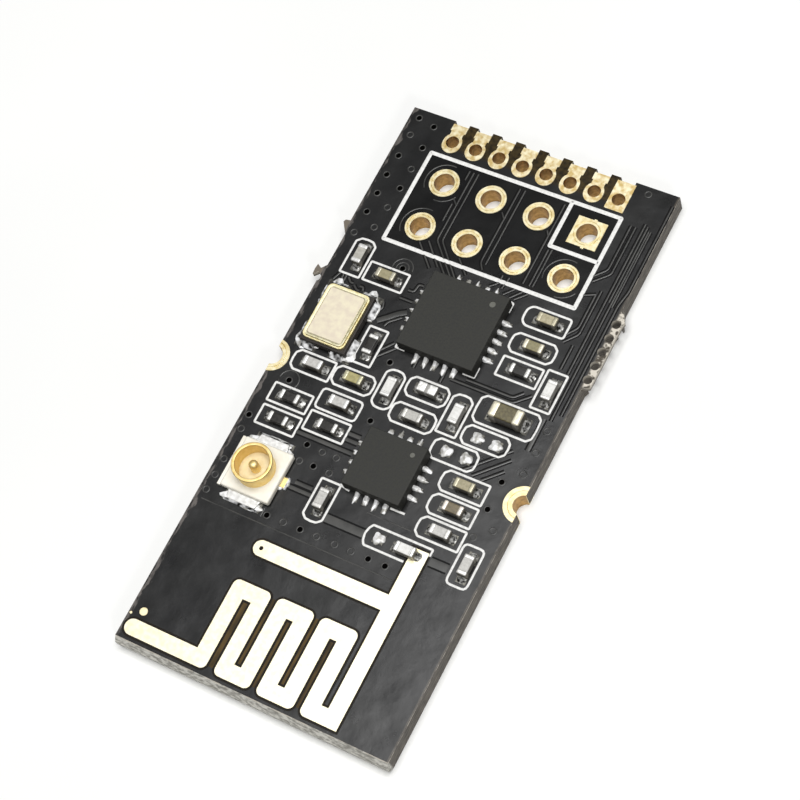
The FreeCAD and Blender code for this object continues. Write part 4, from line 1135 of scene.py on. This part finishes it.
# Chip components: colour of the body's dark and light blotches, then of the end bands.
BODIES = {
    "capacitor_1": ("#a8a59b", "#bcb9af", "#efeeea"), "capacitor_2": ("#8f8768", "#a39a7a", "#c9c4b0"),
    "capacitor_3": ("#b3b1ac", "#c9c7c2", "#f0efec"), "capacitor_4": ("#9a9262", "#b1a874", "#c6c2a4"),
    "capacitor_5": ("#b3b1ac", "#c9c7c2", "#f0efec"), "capacitor_6": ("#b0aea8", "#c4c2bb", "#d2d0ca"),
    "capacitor_7": ("#a39a7c", "#b9b093", "#beb79e"), "capacitor_8": ("#7f7858", "#958d6b", "#e6dfc9"),
    "capacitor_9": ("#564f36", "#6f6748", "#efe8d0"), "capacitor_10": ("#958d70", "#aaa184", "#bdb79f"),
    "capacitor_11": ("#655b46", "#7a6e56", "#e8dfd4"), "capacitor_12": ("#b5b3ae", "#cccac5", "#dedcd7"),
    "capacitor_13": ("#b5b3ae", "#cccac5", "#dedcd7"), "capacitor_14": ("#b5b3ae", "#cccac5", "#dedcd7"),
}


# Each kind's length, width, height, end band, how deep the core lies under the bands, and its slits.
COMPONENT_SIZES = {
    "capacitor": (1.0, 0.5, 0.5, 0.24, 0.02, 0.0),
    "large": (1.6, 0.8, 0.8, 0.42, 0.02, 0.0),
    "inductor": (1.0, 0.5, 0.5, 0.2, 0.01, 0.03),
    "slit": (1.0, 0.5, 0.5, 0.46, 0.04, 0.0),
    "resistor": (1.0, 0.5, 0.35, 0.22, 0.03, 0.0),
}
# The mounds of solder on bare lands: their height, and how far a land is from any component that it carries.
MOUND_HEIGHT = 0.09
LAND_REACH = 1.0


def slot_holder(name):
    """A stand-in material that keeps a piece's slot through a join, until paint fills it."""
    return bpy.data.materials.get(name) or bpy.data.materials.new(name)


def component_model(name, length, width, height, band, core_drop, slit):
    """A chip component along X with its centre's foot at the origin: a core and two wrapped end bands."""
    half, side, top = length / 2, width / 2, height - core_drop
    core_x, core_y = half - 0.02, side - 0.015
    core = block(name, (-core_x, -core_y, 0.015), (core_x, core_y, top), 0.11 * width, 3)
    paint(core, slot_holder("core_slot"))
    bands = []
    for sign in (-1, 1):
        if slit:
            edge = sign * (half - band - slit / 2)
            low, high = (edge - slit / 2, -width, top - 0.02), (edge + slit / 2, width, height + 1)
            boolean(core, block("groove", low, high), "DIFFERENCE")
        inner, outer = sorted((sign * (half - band), sign * half))
        wrap = block("band", (inner, -side, 0), (outer, side, height), 0.15 * width, 4)
        bands.append(paint(wrap, slot_holder("band_slot")))
    return join(name, [core] + bands)


class MODULE_OT_components(bpy.types.Operator):
    """Make the chip capacitors, inductors and resistors and their solder"""
    bl_idname = "module.components"
    bl_label = "Chip components"

    def execute(self, context):
        looks = context.scene.module_metal
        models = {kind: component_model(kind + "_model", *sizes) for kind, sizes in COMPONENT_SIZES.items()}
        # Fired ceramic, pale and fine grained; its upright sides are painted grey as shade.
        inductor_body = surface("inductor_body", "#dcdbd6", "#ecebe7", 0.15, 0.4, sides="#77746d")
        # The same ceramic where it lies deep between two broad end bands, shaded and grey.
        slit_floor = surface("inductor_slit", "#8f8d88", "#a5a39e", 0.1, 0.5)
        # The glaze over a resistor's film, black and a little glossy.
        resistor_body = surface("resistor_body", "#1d1b18", "#2a2824", 0.15, 0.35)
        # Tin-plated ends, dull white on top; the sides are painted dark as a reflection of the board.
        white_end = surface("end_white", "#e6e5e0", "#fbfaf6", 0.12, 0.35, metallic=0.5, depth_mm=0.006,
                            sides="#7a7770")
        # Solder frozen in folds; its bright blotches are painted glints and its dark ones painted dark
        # reflections.
        solder = surface("component_solder_painted_glints_and_shade", "#33312d", "#efeee9", 0.14, 0.32, spread=0.08,
                         metallic=0.7, depth_mm=0.012, detail=1.5)
        model = blob("fillet", looks.toe / MM, width=0.46, climb=0.24)
        fillets = []
        kinds = ("capacitor", "inductor", "resistor")
        names = [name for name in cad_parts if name.split("_")[0] in kinds]
        for name in sorted(names):
            kind = name.split("_")[0]
            low, high = node_box(name)
            size = high - low
            upright = size.y > size.x
            key = "large" if max(size.x, size.y) > 1.3 else "slit" if name == "inductor_2" else kind
            piece = twin(models[key], name + "_part")
            if upright:
                turn(piece, 90)
            centre = (low + high) / 2
            move(piece, (centre.x, centre.y, low.z))
            if kind == "capacitor":
                dark, light, end = BODIES[name]
                # Fired ceramic in this component's own colour, with its upright sides painted dark as shade.
                body = surface(name + "_body", dark, light, 0.12, 0.45, depth_mm=0.004, sides="#332d21")
                # The end bands in their own colour, with their upright sides painted darker as shade.
                ends = surface(name + "_end", end, end, 0.12, 0.35, metallic=0.5, depth_mm=0.006,
                               sides="#6b665b")
                paint(piece, body, ends)
            else:
                core = {"inductor": inductor_body, "slit": slit_floor, "resistor": resistor_body}[key]
                paint(piece, core, white_end)
            settle(piece, kind + ("_coat" if kind == "resistor" else "_ceramic"), name)
            reach = max(size.x, size.y) / 2
            grow = min(size.x, size.y) / 0.5
            for degrees in (0, 180):
                fillet = twin(model, "fillet")
                only(fillet)
                bpy.ops.transform.resize(value=(1, grow, size.z / 0.5), center_override=(0, 0, 0))
                made("fillet")
                move(fillet, (reach, 0, 0))
                turn(fillet, degrees + (90 if upright else 0))
                fillets.append(move(fillet, (centre.x, centre.y, low.z)))
        piece = join("component_solder_fillets", fillets)
        settle(paint(piece, solder), "solder", "component_solder")
        drop(model, *models.values())
        # The same alloy on a bare land, pale all over as a painted highlight, with little metal shine.
        painted_bright_solder = surface("spare_solder_painted_highlight", "#a3a19a", "#ffffff", 0.24, 0.45, metallic=0.2,
                          depth_mm=0.012, detail=1.5)
        settle(paint(self.spare_solder(names), painted_bright_solder), "solder")
        # Low beside a part the same alloy is painted dark as shade, with blotches of painted highlight.
        low_solder = surface("solder_painted_shade_and_glints", "#1e1c18", "#ffffff", 0.28, 0.35, metallic=0.15,
                             depth_mm=0.006, detail=1.0)
        for name in ("crystal_solder", "coax_solder"):
            paint(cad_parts[name], low_solder)
        return {"FINISHED"}

    def spare_solder(self, names):
        """A flat uneven mound on every land that carries no component."""
        lands = twin(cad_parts["component_lands"], "land")
        lands.parent = None
        edit(lands)
        bpy.ops.mesh.remove_doubles(threshold=0.000001)
        bpy.ops.mesh.separate(type="LOOSE")
        done()
        centres = [node_centre(name) for name in names]
        mounds = []
        for land in list(bpy.context.selected_objects):
            places = [vertex.co / MM for vertex in land.data.vertices]
            low = Vector([min(place[axis] for place in places) for axis in range(3)])
            high = Vector([max(place[axis] for place in places) for axis in range(3)])
            middle, size = (low + high) / 2, high - low
            drop(land)
            if min(math.hypot(middle.x - c.x, middle.y - c.y) for c in centres) < LAND_REACH:
                continue
            bpy.ops.object.select_all(action="DESELECT")
            bpy.ops.mesh.primitive_uv_sphere_add(segments=24, ring_count=14, radius=1, location=(0, 0, 0))
            mound = made("mound")
            for vertex in mound.data.vertices:
                place = vertex.co
                angle = math.atan2(place.y, place.x)
                uneven = 1 + 0.16 * math.sin(3 * angle + middle.x * 7)
                uneven += 0.1 * math.sin(5 * angle + middle.y * 9)
                spread = 0.55 * uneven
                vertex.co = (place.x * size.x * spread, place.y * size.y * spread, place.z * MOUND_HEIGHT)
            mounds.append(move(mound, (middle.x, middle.y, high.z)))
        return join("spare_solder", mounds)


# The soft boxes: place and size, in millimetres.
KEY_PLACE, KEY_SIZE = (39, 7, 395), 280
GLINT_PLACE, GLINT_SIZE = (230, -190, 200), 50
# The photograph's camera: its place in millimetres, and which way its right and its up point.
CAMERA_PLACE = (36.165, -28.362, 89.415)
CAMERA_RIGHT = (0.864408, 0.457709, -0.208092)
CAMERA_UP = (-0.344773, 0.840836, 0.417285)


class MODULE_OT_stage(bpy.types.Operator):
    """Set the floor, the soft lights, the pale surroundings and the camera"""
    bl_idname = "module.stage"
    bl_label = "Stage"

    def execute(self, context):
        looks = context.scene.module_stage
        scene = context.scene
        bpy.ops.object.select_all(action="DESELECT")
        bpy.ops.mesh.primitive_plane_add(size=600 * MM, location=(0, 0, -0.01 * MM))
        floor = bpy.context.object
        floor.name = "floor"
        # Matte white card, broad and faintly uneven.
        paint(floor, surface("floor_paper", "#f3f3f1", "#f7f7f5", 30, 0.8))

        self.light("key", KEY_PLACE, KEY_SIZE, looks.key_power)
        self.light("glint", GLINT_PLACE, GLINT_SIZE, looks.glint_power)

        world = bpy.data.worlds.new("surroundings")
        scene.world = world
        world.use_nodes = True
        world.node_tree.nodes.clear()
        add = partial(add_node, world.node_tree)
        seen = add("LightPath").outputs["Is Camera Ray"]
        pale = add("Background", {"Color": "#ffffff", "Strength": 1.0})
        soft = add("Background", {"Color": "#f4f6fa", "Strength": looks.ambient})
        add("OutputWorld", {"Surface": add("MixShader", {0: seen, 1: soft, 2: pale})})

        right, up = Vector(CAMERA_RIGHT).normalized(), Vector(CAMERA_UP).normalized()
        back = right.cross(up)
        camera = bpy.data.cameras.new("camera")
        camera.lens = looks.lens
        camera.sensor_width = 36
        camera.clip_start, camera.clip_end = 5 * MM, 5
        holder = bpy.data.objects.new("camera", camera)
        turned = Matrix((right, up, back)).transposed().to_4x4()
        holder.matrix_world = Matrix.Translation(Vector(CAMERA_PLACE) * MM) @ turned
        scene.collection.objects.link(holder)
        scene.camera = holder
        scene.view_settings.view_transform = "Standard"
        return {"FINISHED"}

    def light(self, name, place, size, power):
        """A square soft box that faces the board."""
        lamp = bpy.data.lights.new(name, "AREA")
        lamp.size = size * MM
        lamp.energy = power
        holder = bpy.data.objects.new(name, lamp)
        holder.location = Vector(place) * MM
        holder.rotation_mode = "QUATERNION"
        holder.rotation_quaternion = Vector(place).to_track_quat("Z", "Y")
        bpy.context.scene.collection.objects.link(holder)


STEPS = (
    MODULE_OT_board, MODULE_OT_copper, MODULE_OT_print, MODULE_OT_header, MODULE_OT_edge, MODULE_OT_antenna,
    MODULE_OT_chips, MODULE_OT_crystal, MODULE_OT_coax, MODULE_OT_components, MODULE_OT_stage,
)
GROUPS = (("module_board", BoardLooks), ("module_metal", MetalLooks), ("module_stage", StageLooks))


class MODULE_PT_panel(bpy.types.Panel):
    """The steps, sizes and colours of the module's looks"""
    bl_label = "Wireless module"
    bl_idname = "MODULE_PT_panel"
    bl_space_type = "VIEW_3D"
    bl_region_type = "UI"
    bl_category = "Module"

    def draw(self, context):
        for step in STEPS:
            self.layout.operator(step.bl_idname)
        for key, group in GROUPS:
            settings = getattr(context.scene, key)
            for name in group.__annotations__:
                self.layout.prop(settings, name)


def register():
    for key, group in GROUPS:
        bpy.utils.register_class(group)
        setattr(bpy.types.Scene, key, PointerProperty(type=group))
    for step in STEPS:
        bpy.utils.register_class(step)
    bpy.utils.register_class(MODULE_PT_panel)


def unregister():
    bpy.utils.unregister_class(MODULE_PT_panel)
    for step in reversed(STEPS):
        bpy.utils.unregister_class(step)
    for key, group in reversed(GROUPS):
        delattr(bpy.types.Scene, key)
        bpy.utils.unregister_class(group)


def main():
    register()
    for step in STEPS:
        category, name = step.bl_idname.split(".")
        getattr(getattr(bpy.ops, category), name)()


if __name__ == "__main__":
    main()
